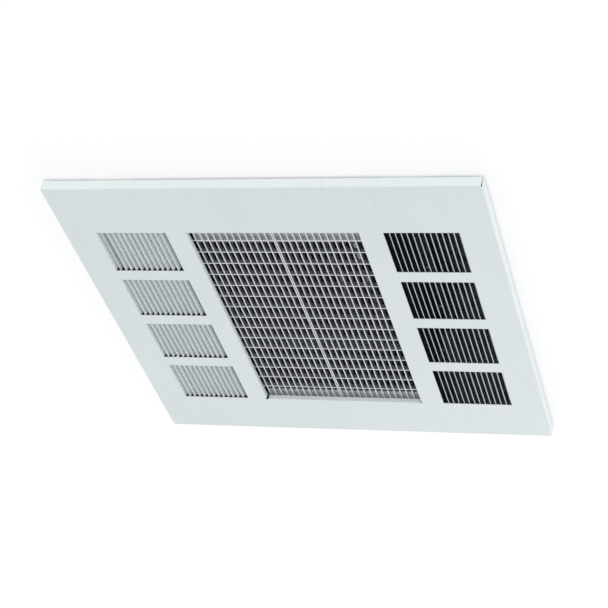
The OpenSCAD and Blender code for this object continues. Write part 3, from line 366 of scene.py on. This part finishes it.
def baked_enamel(name, value):
    """Satin enamel with a faint upright grain, and painted shade on the louvres' outward edges."""
    finish = Finish(name)
    side, height = finish.axis("Object", "X"), finish.axis("Object", "Z")
    # Painted shade: the masks below pick the outward faces of the louvres' edges, just above the
    # face
    reach = finish.sum("ABSOLUTE", side, 0)
    past_opening = finish.sum("GREATER_THAN", reach, BANK_INNER)
    lanced = past_opening * finish.sum("LESS_THAN", reach, BANK_OUTER)
    outward = finish.sum("GREATER_THAN", side * finish.axis("Normal", "X"), LEAST_OUTWARD)
    above = finish.sum("GREATER_THAN", height, PANEL_FACE + EDGE_START)
    painted_edge_shade = above * finish.sum("LESS_THAN", height, PANEL_FACE + EDGE_END) * lanced * outward
    grain = finish.noise(420.0, 3.0, 0.6, (1.0, 0.03, 0.03))
    drift = finish.noise(5.0, 2.0)
    peel = finish.noise(620.0, 2.0)
    coat = finish.mix(grain * 0.6 + drift * 0.4, tone(value, 0.9), tone(value, 1.08))
    return finish.surface(
        {
            # Painted shade darkens the enamel on the louvres' outward edges
            "Base Color": finish.mix(painted_edge_shade * 0.8, coat, tone(value, 0.08)),
            "Roughness": 0.4 + 0.12 * grain,
            "Normal": finish.bump(peel, 0.00004, 0.5),
            "Specular IOR Level": 0.4,
        }
    )


def satin_bar(name, value, metallic):
    """Steel bar under a thin bright satin coat."""
    finish = Finish(name)
    drift = finish.noise(60.0, 3.0)
    grit = finish.noise(1400.0, 2.0)
    return finish.surface(
        {
            "Base Color": finish.mix(drift, tone(value, 0.88), tone(value, 1.06)),
            "Metallic": metallic,
            "Roughness": 0.24 + 0.12 * drift,
            "Normal": finish.bump(grit, 0.00003, 0.5),
        }
    )


def galvanised_sheet(name, value):
    """Hot dipped sheet with flat spangle."""
    finish = Finish(name)
    spangle = finish.cells(140.0)
    fine = finish.cells(320.0, (1.0, 0.7, 1.0))
    wear = finish.noise(7.0, 4.0)
    share = spangle * 0.5 + fine * 0.3 + wear * 0.2
    return finish.surface(
        {
            "Base Color": finish.mix(share, tone(value, 0.8), tone(value, 1.12)),
            "Metallic": 0.85,
            "Roughness": 0.34 + 0.22 * share,
            "Normal": finish.bump(spangle, 0.00004, 0.4),
        }
    )


def zinc_plate(name, value):
    """Zinc plating with a slightly cloudy face."""
    finish = Finish(name)
    cloud = finish.noise(180.0, 3.0)
    scuff = finish.noise(900.0, 2.0)
    return finish.surface(
        {
            "Base Color": finish.mix(cloud, tone(value, 0.82), tone(value, 1.08)),
            "Metallic": 0.9,
            "Roughness": 0.26 + 0.2 * cloud,
            "Normal": finish.bump(scuff, 0.00003, 0.4),
        }
    )


def turned_steel(name, value):
    """Ground steel with fine rings round the shaft."""
    finish = Finish(name)
    rings = finish.noise(500.0, 2.0, 0.5, (0.02, 0.02, 4.0))
    return finish.surface(
        {
            "Base Color": finish.mix(rings, tone(value, 0.85), tone(value, 1.05)),
            "Metallic": 1.0,
            "Roughness": 0.18 + 0.16 * rings,
            "Normal": finish.bump(rings, 0.00002, 0.4),
        }
    )


def mill_aluminium(name, value):
    """Rolled aluminium with a faint grain one way."""
    finish = Finish(name)
    grain = finish.noise(300.0, 4.0, 0.6, (0.05, 1.0, 1.0))
    cloud = finish.noise(12.0, 2.0)
    share = grain * 0.7 + cloud * 0.3
    return finish.surface(
        {
            "Base Color": finish.mix(share, tone(value, 0.86), tone(value, 1.05)),
            "Metallic": 0.95,
            "Roughness": 0.3 + 0.2 * grain,
            "Normal": finish.bump(grain, 0.00002, 0.4),
        }
    )


def motor_enamel(name, value):
    """Black enamel over pressed steel, slightly dusty."""
    finish = Finish(name)
    dust = finish.noise(25.0, 5.0)
    peel = finish.noise(450.0, 2.0)
    dusty = finish.ramp(dust, [(0.45, 0.0), (0.8, 0.5)])
    return finish.surface(
        {
            "Base Color": finish.mix(dusty, value, (0.16, 0.155, 0.15)),
            "Roughness": 0.3 + 0.25 * dust,
            "Coat Weight": 0.25,
            "Normal": finish.bump(peel, 0.00006, 0.5),
        }
    )


def element_sheath(name, value):
    """Finned steel sheath, darkened and faintly blued by heat."""
    finish = Finish(name)
    heat = finish.noise(22.0, 3.0)
    scale = finish.noise(700.0, 3.0)
    warm = finish.mix(heat, tone(value, 0.7), (0.16, 0.135, 0.12))
    return finish.surface(
        {
            "Base Color": finish.mix(scale * 0.4, warm, tone(value, 1.5)),
            "Metallic": 0.7,
            "Roughness": 0.42 + 0.22 * scale,
            "Normal": finish.bump(scale, 0.00003, 0.5),
        }
    )


def yellow_brass(name, value):
    """Brass, dulled in patches."""
    finish = Finish(name)
    tarnish = finish.noise(90.0, 4.0)
    dulled = finish.ramp(tarnish, [(0.4, 0.0), (0.75, 1.0)])
    return finish.surface(
        {
            "Base Color": finish.mix(dulled, value, tone(value, 0.55)),
            "Metallic": 1.0,
            "Roughness": 0.22 + 0.22 * tarnish,
            "Normal": finish.bump(tarnish, 0.00002, 0.3),
        }
    )


def glazed_porcelain(name, value):
    """White glaze with a few specks."""
    finish = Finish(name)
    specks = finish.ramp(finish.noise(900.0, 1.0), [(0.68, 0.0), (0.76, 1.0)])
    drift = finish.noise(30.0, 2.0)
    body = finish.mix(drift, tone(value, 0.93), value)
    return finish.surface(
        {
            "Base Color": finish.mix(specks * 0.35, body, (0.35, 0.3, 0.24)),
            "Roughness": 0.16 + 0.1 * drift,
            "Coat Weight": 0.5,
            "Normal": finish.bump(drift, 0.00005, 0.4),
        }
    )


def soft_rubber(name, value):
    """Black rubber with a grey bloom."""
    finish = Finish(name)
    bloom = finish.noise(60.0, 4.0)
    pores = finish.noise(1500.0, 2.0)
    return finish.surface(
        {
            "Base Color": finish.mix(bloom, value, tone(value, 2.2)),
            "Roughness": 0.58 + 0.2 * bloom,
            "Normal": finish.bump(pores, 0.00005, 0.6),
        }
    )


def moulded_plastic(name, value, rough):
    """Moulded plastic with a fine spark-eroded texture."""
    finish = Finish(name)
    texture = finish.noise(1800.0, 2.0)
    drift = finish.noise(40.0, 2.0)
    return finish.surface(
        {
            "Base Color": finish.mix(drift, tone(value, 0.88), tone(value, 1.12)),
            "Roughness": rough + 0.12 * texture,
            "Normal": finish.bump(texture, 0.00004, 0.5),
        }
    )


# Finishes by the record's slots, made when the colours are known
finishes = {}

# The record's slot of each metal part, read before the finishes go on
slots = {}

# Nodes whose finish differs from their slot's; the duct's is a dark blue copy of the galvanised
# sheet, painted shade
OWN_FINISH = {"grille_end_channels": "channel_steel", "air_duct": "duct_painted_shade"}


def make_finishes(colours):
    """One finish for each slot in the parts' record."""
    finishes["white_paint"] = baked_enamel("white_baked_enamel", tuple(colours.enamel))
    finishes["grille_steel"] = satin_bar("satin_grille_bar", tuple(colours.grille), 0.82)
    finishes["channel_steel"] = satin_bar("satin_channel", tuple(colours.channel), 0.1)
    finishes["galvanised_steel"] = galvanised_sheet("galvanised_sheet", tuple(colours.zinc_coat))
    # Painted shade: a dark blue copy of the galvanised sheet for the duct
    finishes["duct_painted_shade"] = galvanised_sheet("heat_blued_duct", tuple(colours.duct))
    finishes["zinc_hardware"] = zinc_plate("zinc_plated_hardware", tuple(colours.hardware))
    finishes["bright_steel"] = turned_steel("turned_steel", tuple(colours.bright))
    finishes["fan_aluminium"] = mill_aluminium("mill_aluminium", tuple(colours.aluminium))
    finishes["motor_enamel"] = motor_enamel("motor_black_enamel", tuple(colours.motor))
    finishes["element_steel"] = element_sheath("element_sheath", tuple(colours.element))
    finishes["brass"] = yellow_brass("yellow_brass", tuple(colours.brass))
    finishes["porcelain"] = glazed_porcelain("glazed_porcelain", tuple(colours.porcelain))
    finishes["black_rubber"] = soft_rubber("soft_black_rubber", tuple(colours.rubber))
    plastic = tuple(colours.plastic)
    finishes["switch_plastic"] = moulded_plastic("moulded_switch_plastic", plastic, 0.38)
    finishes["red_plastic"] = moulded_plastic("moulded_red_plastic", tuple(colours.red), 0.3)


def paint(piece, slot):
    """Give a piece the one finish that belongs to this slot."""
    piece.data.materials.clear()
    piece.data.materials.append(finishes[slot])


def slot_of(node):
    """The record's slot that a metal part carries."""
    name = node.data.materials[0].name if node.data.materials else ""
    return name.split(".")[0]


# Modelling


def clear_selection():
    """Deselect every object, so that the next operator acts on its own piece alone."""
    bpy.ops.object.select_all(action="DESELECT")


def pick_faces(piece, passes):
    """In edit mode, select only the faces whose normal passes a test."""
    bpy.ops.mesh.select_mode(type="FACE")
    bpy.ops.mesh.select_all(action="DESELECT")
    mesh = bmesh.from_edit_mesh(piece.data)
    for face in mesh.faces:
        if passes(face.normal):
            face.select_set(True)
    bmesh.update_edit_mesh(piece.data)


def make_active(piece):
    """Select one piece alone and make it the active one."""
    clear_selection()
    piece.select_set(True)
    bpy.context.view_layer.objects.active = piece


def apply_modifier(piece, kind, **settings):
    """Add one modifier, set it and apply it."""
    make_active(piece)
    modifier = piece.modifiers.new("shaping", kind)
    for name, value in settings.items():
        setattr(modifier, name, value)
    bpy.ops.object.modifier_apply(modifier=modifier.name)


def joined(pieces, name):
    """Several pieces as one object with its origin at the frame's own."""
    make_active(pieces[0])
    for piece in pieces:
        piece.select_set(True)
    bpy.ops.object.join()
    piece = bpy.context.object
    bpy.ops.object.transform_apply(location=True, rotation=True, scale=True)
    piece.name = name
    return piece


def copy_of(piece, matrix):
    """A copy with its own mesh, set at another place."""
    copy = piece.copy()
    copy.data = piece.data.copy()
    bpy.context.scene.collection.objects.link(copy)
    copy.matrix_world = matrix
    return copy


def wound(name, outline, pitch, turns, steps):
    """An open outline in the XZ plane, wound about Z as a helix."""
    mesh = bmesh.new()
    corners = [mesh.verts.new(place) for place in outline]
    for first, second in zip(corners, corners[1:]):
        mesh.edges.new((first, second))
    data = bpy.data.meshes.new(name)
    mesh.to_mesh(data)
    mesh.free()
    ridge = bpy.data.objects.new(name, data)
    bpy.context.scene.collection.objects.link(ridge)
    apply_modifier(
        ridge,
        "SCREW",
        axis="Z",
        angle=math.tau,
        screw_offset=pitch,
        iterations=turns,
        steps=steps,
        render_steps=steps,
        use_merge_vertices=True,
        merge_threshold=JOIN_DISTANCE,
    )
    return ridge


def face_outwards(piece):
    """Turn every face of a modelled piece to the outside."""
    make_active(piece)
    bpy.ops.object.mode_set(mode="EDIT")
    bpy.ops.mesh.select_all(action="SELECT")
    bpy.ops.mesh.normals_make_consistent(inside=False)
    bpy.ops.object.mode_set(mode="OBJECT")


def dress(piece, node_name):
    """Finish a modelled piece and show it in place of its metal part, on the housing's body."""
    face_outwards(piece)
    bpy.ops.object.shade_smooth_by_angle(angle=SMOOTH_ANGLE)
    slot = slots[node_name]
    paint(piece, slot)
    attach(piece, "housing")
    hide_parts(node_name)


def solids_of(node_name):
    """The corners of each separate solid in a metal part."""
    mesh = bmesh.new()
    mesh.from_mesh(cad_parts[node_name].data)
    bmesh.ops.remove_doubles(mesh, verts=mesh.verts, dist=JOIN_DISTANCE)
    seen = set()
    solids = []
    for start in mesh.verts:
        if start in seen:
            continue
        seen.add(start)
        reached = [start]
        for corner in reached:
            for edge in corner.link_edges:
                other = edge.other_vert(corner)
                if other not in seen:
                    seen.add(other)
                    reached.append(other)
        solids.append([corner.co.copy() for corner in reached])
    mesh.free()
    return solids


def fastener_place(corners, head_width, head_height):
    """Where one fastener sits, with +Z from its head to its tip, and how long its shank is."""
    low = Vector([min(corner[i] for corner in corners) for i in range(3)])
    high = Vector([max(corner[i] for corner in corners) for i in range(3)])
    size = high - low
    axis = max(range(3), key=lambda i: abs(size[i] - head_width))
    middle = (low + high) / 2

    def spoke(corner):
        return (corner - middle).length_squared - (corner[axis] - middle[axis]) ** 2

    # The widest ring lies under the head
    widest = max(corners, key=spoke)
    way = Vector((0, 0, 0))
    way[axis] = 1 if widest[axis] < middle[axis] else -1
    seat = middle.copy()
    seat[axis] = (low if way[axis] > 0 else high)[axis] + way[axis] * head_height
    turn = way.to_track_quat("Z", "Y").to_matrix().to_4x4()
    return Matrix.Translation(seat) @ turn, size[axis] - head_height


def fit_fasteners(node_name, model, head_width, head_height):
    """One modelled fastener, copied to every solid of a metal part."""
    places = [fastener_place(corners, head_width, head_height) for corners in solids_of(node_name)]
    first = model(node_name + "_model", places[0][1])
    copies = [
        copy_of(first, place @ Matrix.Rotation(index * HEAD_TURN, 4, "Z"))
        for index, (place, _) in enumerate(places)
    ]
    bpy.data.objects.remove(first)
    dress(joined(copies, node_name + "_in_detail"), node_name)


def model_screw(name, length):
    """A rounded pan head with a cross recess, over a shank with a rolled thread."""
    sizes = bpy.context.scene.heater_sizes
    clear_selection()
    bpy.ops.mesh.primitive_cylinder_add(
        vertices=HEAD_SIDES, radius=SCREW_HEAD_R, depth=SCREW_HEAD, location=(0, 0, -SCREW_HEAD / 2)
    )
    head = bpy.context.object
    bpy.ops.object.mode_set(mode="EDIT")
    pick_faces(head, lambda normal: normal.z < -FLAT)
    bpy.ops.mesh.bevel(offset=SCREW_HEAD_ROUND, segments=ROUND_STEPS, affect="EDGES")
    bpy.ops.object.mode_set(mode="OBJECT")
    for turn in (0, math.pi / 2):
        clear_selection()
        bpy.ops.mesh.primitive_cube_add(
            size=1,
            location=(0, 0, -SCREW_HEAD),
            rotation=(0, 0, turn),
            scale=(sizes.recess_length, sizes.recess_width, 2 * sizes.recess_depth),
        )
        arm = bpy.context.object
        bpy.ops.object.mode_set(mode="EDIT")
        pick_faces(arm, lambda normal: normal.z > FLAT)
        bpy.ops.transform.resize(value=(RECESS_TAPER, RECESS_TAPER, 1))
        bpy.ops.object.mode_set(mode="OBJECT")
        apply_modifier(head, "BOOLEAN", object=arm, operation="DIFFERENCE", solver="EXACT")
        bpy.data.objects.remove(arm)
    clear_selection()
    bpy.ops.mesh.primitive_cylinder_add(
        vertices=SHANK_SIDES, radius=SCREW_CORE_R, depth=length, location=(0, 0, length / 2)
    )
    core = bpy.context.object
    turns = int(length / SCREW_PITCH) - 1
    root = ROOT_SHARE * SCREW_CORE_R
    ridge = [(root, 0, 0), (SCREW_R, 0, SCREW_PITCH / 2), (root, 0, SCREW_PITCH)]
    return joined([head, core, wound("thread", ridge, SCREW_PITCH, turns, SHANK_SIDES)], name)


def model_rivet(name, length):
    """A domed head with the hole that the mandrel leaves, over a swollen tail."""
    clear_selection()
    bpy.ops.mesh.primitive_cylinder_add(
        vertices=RIVET_SIDES,
        radius=RIVET_HEAD_R,
        depth=RIVET_HEAD,
        location=(0, 0, -RIVET_HEAD / 2),
    )
    head = bpy.context.object
    bpy.ops.object.mode_set(mode="EDIT")
    pick_faces(head, lambda normal: normal.z < -FLAT)
    bpy.ops.mesh.bevel(offset=RIVET_HEAD_ROUND, segments=ROUND_STEPS, affect="EDGES")
    pick_faces(head, lambda normal: normal.z < -FLAT)
    bpy.ops.mesh.inset(thickness=MANDREL_INSET)
    bpy.ops.mesh.extrude_region_move(TRANSFORM_OT_translate={"value": (0, 0, MANDREL_DEPTH)})
    bpy.ops.object.mode_set(mode="OBJECT")
    clear_selection()
    bpy.ops.mesh.primitive_cylinder_add(
        vertices=SHANK_SIDES, radius=RIVET_R, depth=length, location=(0, 0, length / 2)
    )
    shank = bpy.context.object
    clear_selection()
    bpy.ops.mesh.primitive_uv_sphere_add(
        segments=SHANK_SIDES,
        ring_count=TAIL_RINGS,
        radius=RIVET_TAIL_R,
        location=(0, 0, length - RIVET_TAIL / 2),
    )
    tail = bpy.context.object
    bpy.ops.object.mode_set(mode="EDIT")
    bpy.ops.transform.resize(value=(1, 1, RIVET_TAIL / 2 / RIVET_TAIL_R))
    bpy.ops.object.mode_set(mode="OBJECT")
    return joined([head, shank, tail], name)


def model_element(name, low, high):
    """A bent tube with a strip wound round each leg on edge, inside the box of its metal part."""
    sizes = bpy.context.scene.heater_sizes
    fin_r = (high.z - low.z) / 2
    bend_r = (high.x - low.x) / 2 - fin_r
    leg_end = high.y - bend_r - TUBE_R
    leg = leg_end - low.y
    middle = (low.x + high.x) / 2
    level = (low.z + high.z) / 2
    clear_selection()
    bpy.ops.mesh.primitive_circle_add(
        vertices=TUBE_SIDES,
        radius=TUBE_R,
        fill_type="NGON",
        location=(middle - bend_r, low.y, level),
        rotation=(math.pi / 2, 0, 0),
    )
    tube = bpy.context.object
    bpy.ops.object.mode_set(mode="EDIT")
    bpy.ops.mesh.select_all(action="SELECT")
    bpy.ops.mesh.extrude_region_move(TRANSFORM_OT_translate={"value": (0, leg, 0)})
    bpy.ops.mesh.spin(
        steps=BEND_STEPS, angle=-math.pi, center=(middle, leg_end, level), axis=(0, 0, 1)
    )
    bpy.ops.mesh.extrude_region_move(TRANSFORM_OT_translate={"value": (0, -leg, 0)})
    bpy.ops.object.mode_set(mode="OBJECT")
    fins_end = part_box("element_support")[0].y - sizes.fin_pitch
    turns = int((fins_end - low.y - FIN_START) / sizes.fin_pitch)
    edge = [(FIN_ROOT_SHARE * TUBE_R, 0, 0), (fin_r, 0, 0)]
    strip = wound("fin", edge, sizes.fin_pitch, turns, FIN_STEPS)
    apply_modifier(strip, "SOLIDIFY", thickness=sizes.fin_sheet, offset=0)
    along = Matrix.Rotation(-math.pi / 2, 4, "X")
    pieces = [tube]
    for side in (-bend_r, bend_r):
        start = Matrix.Translation((middle + side, low.y + FIN_START, level))
        pieces.append(copy_of(strip, start @ along))
    bpy.data.objects.remove(strip)
    return joined(pieces, name)


# Operators


class HEATER_OT_stage(bpy.types.Operator):
    """Set up the camera, the ceiling board and the soft lights"""

    bl_idname = "heater.stage"
    bl_label = "Camera, ceiling and lights"

    def execute(self, context):
        settings = context.scene.heater_stage
        self.set_camera(context, settings)
        self.lay_board(settings)
        self.hang_lights(context, settings)
        context.scene.view_settings.view_transform = "Standard"
        return {"FINISHED"}

    def set_camera(self, context, settings):
        data = bpy.data.cameras.new("picture_camera")
        data.lens = settings.lens
        data.sensor_width = SENSOR_MM
        data.clip_start = 0.01
        data.clip_end = 50.0
        camera = bpy.data.objects.new("picture_camera", data)
        context.scene.collection.objects.link(camera)
        columns = Matrix((CAMERA_RIGHT, -CAMERA_DOWN, -CAMERA_FORWARD)).transposed()
        turn = columns.to_quaternion().to_matrix().to_4x4()
        camera.matrix_world = Matrix.Translation(CAMERA_PLACE) @ turn
        context.scene.camera = camera

    def lay_board(self, settings):
        """A plain ceiling with a square hole for the box, seen from below and clear from above."""
        clear_selection()
        bpy.ops.mesh.primitive_plane_add(size=2 * BOARD_HOLE_HALF, location=(0, 0, 0))
        board = bpy.context.object
        board.name = "ceiling_board"
        bpy.ops.object.mode_set(mode="EDIT")
        bpy.ops.mesh.select_all(action="SELECT")
        bpy.ops.mesh.delete(type="ONLY_FACE")
        bpy.ops.mesh.select_all(action="SELECT")
        bpy.ops.mesh.extrude_edges_move()
        growth = BOARD_REACH / BOARD_HOLE_HALF
        bpy.ops.transform.resize(value=(growth, growth, 1), center_override=(0, 0, 0))
        bpy.ops.mesh.select_all(action="SELECT")
        bpy.ops.mesh.normals_make_consistent(inside=False)
        bpy.ops.object.mode_set(mode="OBJECT")
        if board.data.polygons[0].normal.z > 0:
            board.data.flip_normals()
        board.data.materials.append(self.board_finish(settings))

    def board_finish(self, settings):
        finish = Finish("plain_ceiling_board")
        mottle = finish.noise(3.0, 2.0)
        board = tuple(settings.board)
        lit = finish.add(
            "ShaderNodeBsdfPrincipled",
            None,
            {
                "Base Color": finish.mix(mottle, tone(board, 0.99), board),
                "Roughness": 0.95,
                "Specular IOR Level": 0.1,
                "Emission Color": (1.0, 1.0, 1.0),
                "Emission Strength": settings.board_glow,
            },
        )
        clear = finish.add("ShaderNodeBsdfTransparent")
        back = Amount(finish, finish.add("ShaderNodeNewGeometry").outputs["Backfacing"])
        seen = Amount(finish, finish.add("ShaderNodeLightPath").outputs["Is Camera Ray"])
        shares = {0: back * seen, 1: lit.outputs[0], 2: clear.outputs[0]}
        both = finish.add("ShaderNodeMixShader", None, shares)
        finish.feed(finish.output.inputs["Surface"], both.outputs[0])
        return finish.material

    def hang_lights(self, context, settings):
        for name, (place, size) in LAMPS.items():
            watts = getattr(settings, name + "_power")
            self.soft_light(name + "_light", watts, place, size)
        context.scene.world = self.white_surround(settings)

    def white_surround(self, settings):
        """White to the eye; as light, strong near the horizon and weak above and below."""
        world = bpy.data.worlds.new("white_surround")
        world.use_nodes = True
        sky = Finish.on_tree(world.node_tree)
        way = sky.add("ShaderNodeTexCoord").outputs["Generated"]
        height = Amount(sky, sky.add("ShaderNodeSeparateXYZ", None, {0: way}).outputs["Z"])
        extra = settings.ambient_level - settings.ambient_steep
        light = settings.ambient_steep + extra * (1 - height * height)
        path = sky.add("ShaderNodeLightPath").outputs
        seen = sky.sum("MAXIMUM", path["Is Camera Ray"], path["Is Glossy Ray"])
        seen = sky.sum("MAXIMUM", seen, path["Is Transmission Ray"])
        brightness = seen + (1 - seen) * light
        sockets = {"Color": (1.0, 1.0, 1.0), "Strength": brightness}
        background = sky.add("ShaderNodeBackground", None, sockets)
        output = sky.add("ShaderNodeOutputWorld")
        sky.feed(output.inputs["Surface"], background.outputs[0])
        return world

    def soft_light(self, name, watts, place, size):
        data = bpy.data.lights.new(name, "AREA")
        data.shape = "SQUARE"
        data.size = size
        data.energy = watts
        lamp = bpy.data.objects.new(name, data)
        lamp.location = place
        lamp.rotation_euler = (-Vector(place)).to_track_quat("-Z", "Y").to_euler()
        bpy.context.scene.collection.objects.link(lamp)


class HEATER_OT_finishes(bpy.types.Operator):
    """Give every metal part its finish"""

    bl_idname = "heater.finishes"
    bl_label = "Finishes on the metal parts"

    def execute(self, context):
        make_finishes(context.scene.heater_colours)
        for name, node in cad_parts.items():
            slot = slot_of(node)
            if slot not in finishes:
                raise ValueError(name + " has no known finish: " + slot)
            slots[name] = slot
            paint(node, OWN_FINISH.get(name, slot))
        return {"FINISHED"}


class HEATER_OT_screws(bpy.types.Operator):
    """Cross-recessed screws with real threads in place of the plain ones"""

    bl_idname = "heater.screws"
    bl_label = "Screws"

    def execute(self, context):
        for node_name in SCREW_NODES:
            fit_fasteners(node_name, model_screw, 2 * SCREW_HEAD_R, SCREW_HEAD)
        return {"FINISHED"}


class HEATER_OT_rivets(bpy.types.Operator):
    """Pulled rivets along the back box's seams"""

    bl_idname = "heater.rivets"
    bl_label = "Rivets"

    def execute(self, context):
        fit_fasteners("box_rivets", model_rivet, 2 * RIVET_HEAD_R, RIVET_HEAD)
        return {"FINISHED"}


class HEATER_OT_elements(bpy.types.Operator):
    """Heating elements with a strip wound round them"""

    bl_idname = "heater.elements"
    bl_label = "Finned elements"

    def execute(self, context):
        for node_name in ELEMENT_NODES:
            piece = model_element(node_name + "_wound", *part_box(node_name))
            dress(piece, node_name)
        return {"FINISHED"}


class HEATER_PT_panel(bpy.types.Panel):
    """The heater's pieces and settings"""

    bl_label = "Ceiling heater"
    bl_idname = "HEATER_PT_panel"
    bl_space_type = "VIEW_3D"
    bl_region_type = "UI"
    bl_category = "Heater"

    def draw(self, context):
        for operator in OPERATORS:
            self.layout.operator(operator.bl_idname)
        scene = context.scene
        for group in (scene.heater_sizes, scene.heater_colours, scene.heater_stage):
            for name in group.__annotations__:
                self.layout.prop(group, name)


OPERATORS = (
    HEATER_OT_stage,
    HEATER_OT_finishes,
    HEATER_OT_screws,
    HEATER_OT_rivets,
    HEATER_OT_elements,
)
CLASSES = (HeaterSizes, HeaterColours, HeaterStage, *OPERATORS, HEATER_PT_panel)


def register():
    for item in CLASSES:
        bpy.utils.register_class(item)
    bpy.types.Scene.heater_sizes = bpy.props.PointerProperty(type=HeaterSizes)
    bpy.types.Scene.heater_colours = bpy.props.PointerProperty(type=HeaterColours)
    bpy.types.Scene.heater_stage = bpy.props.PointerProperty(type=HeaterStage)


def unregister():
    del bpy.types.Scene.heater_stage
    del bpy.types.Scene.heater_colours
    del bpy.types.Scene.heater_sizes
    for item in reversed(CLASSES):
        bpy.utils.unregister_class(item)


def main():
    register()
    bpy.ops.heater.stage()
    bpy.ops.heater.finishes()
    bpy.ops.heater.screws()
    bpy.ops.heater.rivets()
    bpy.ops.heater.elements()


if __name__ == "__main__":
    main()
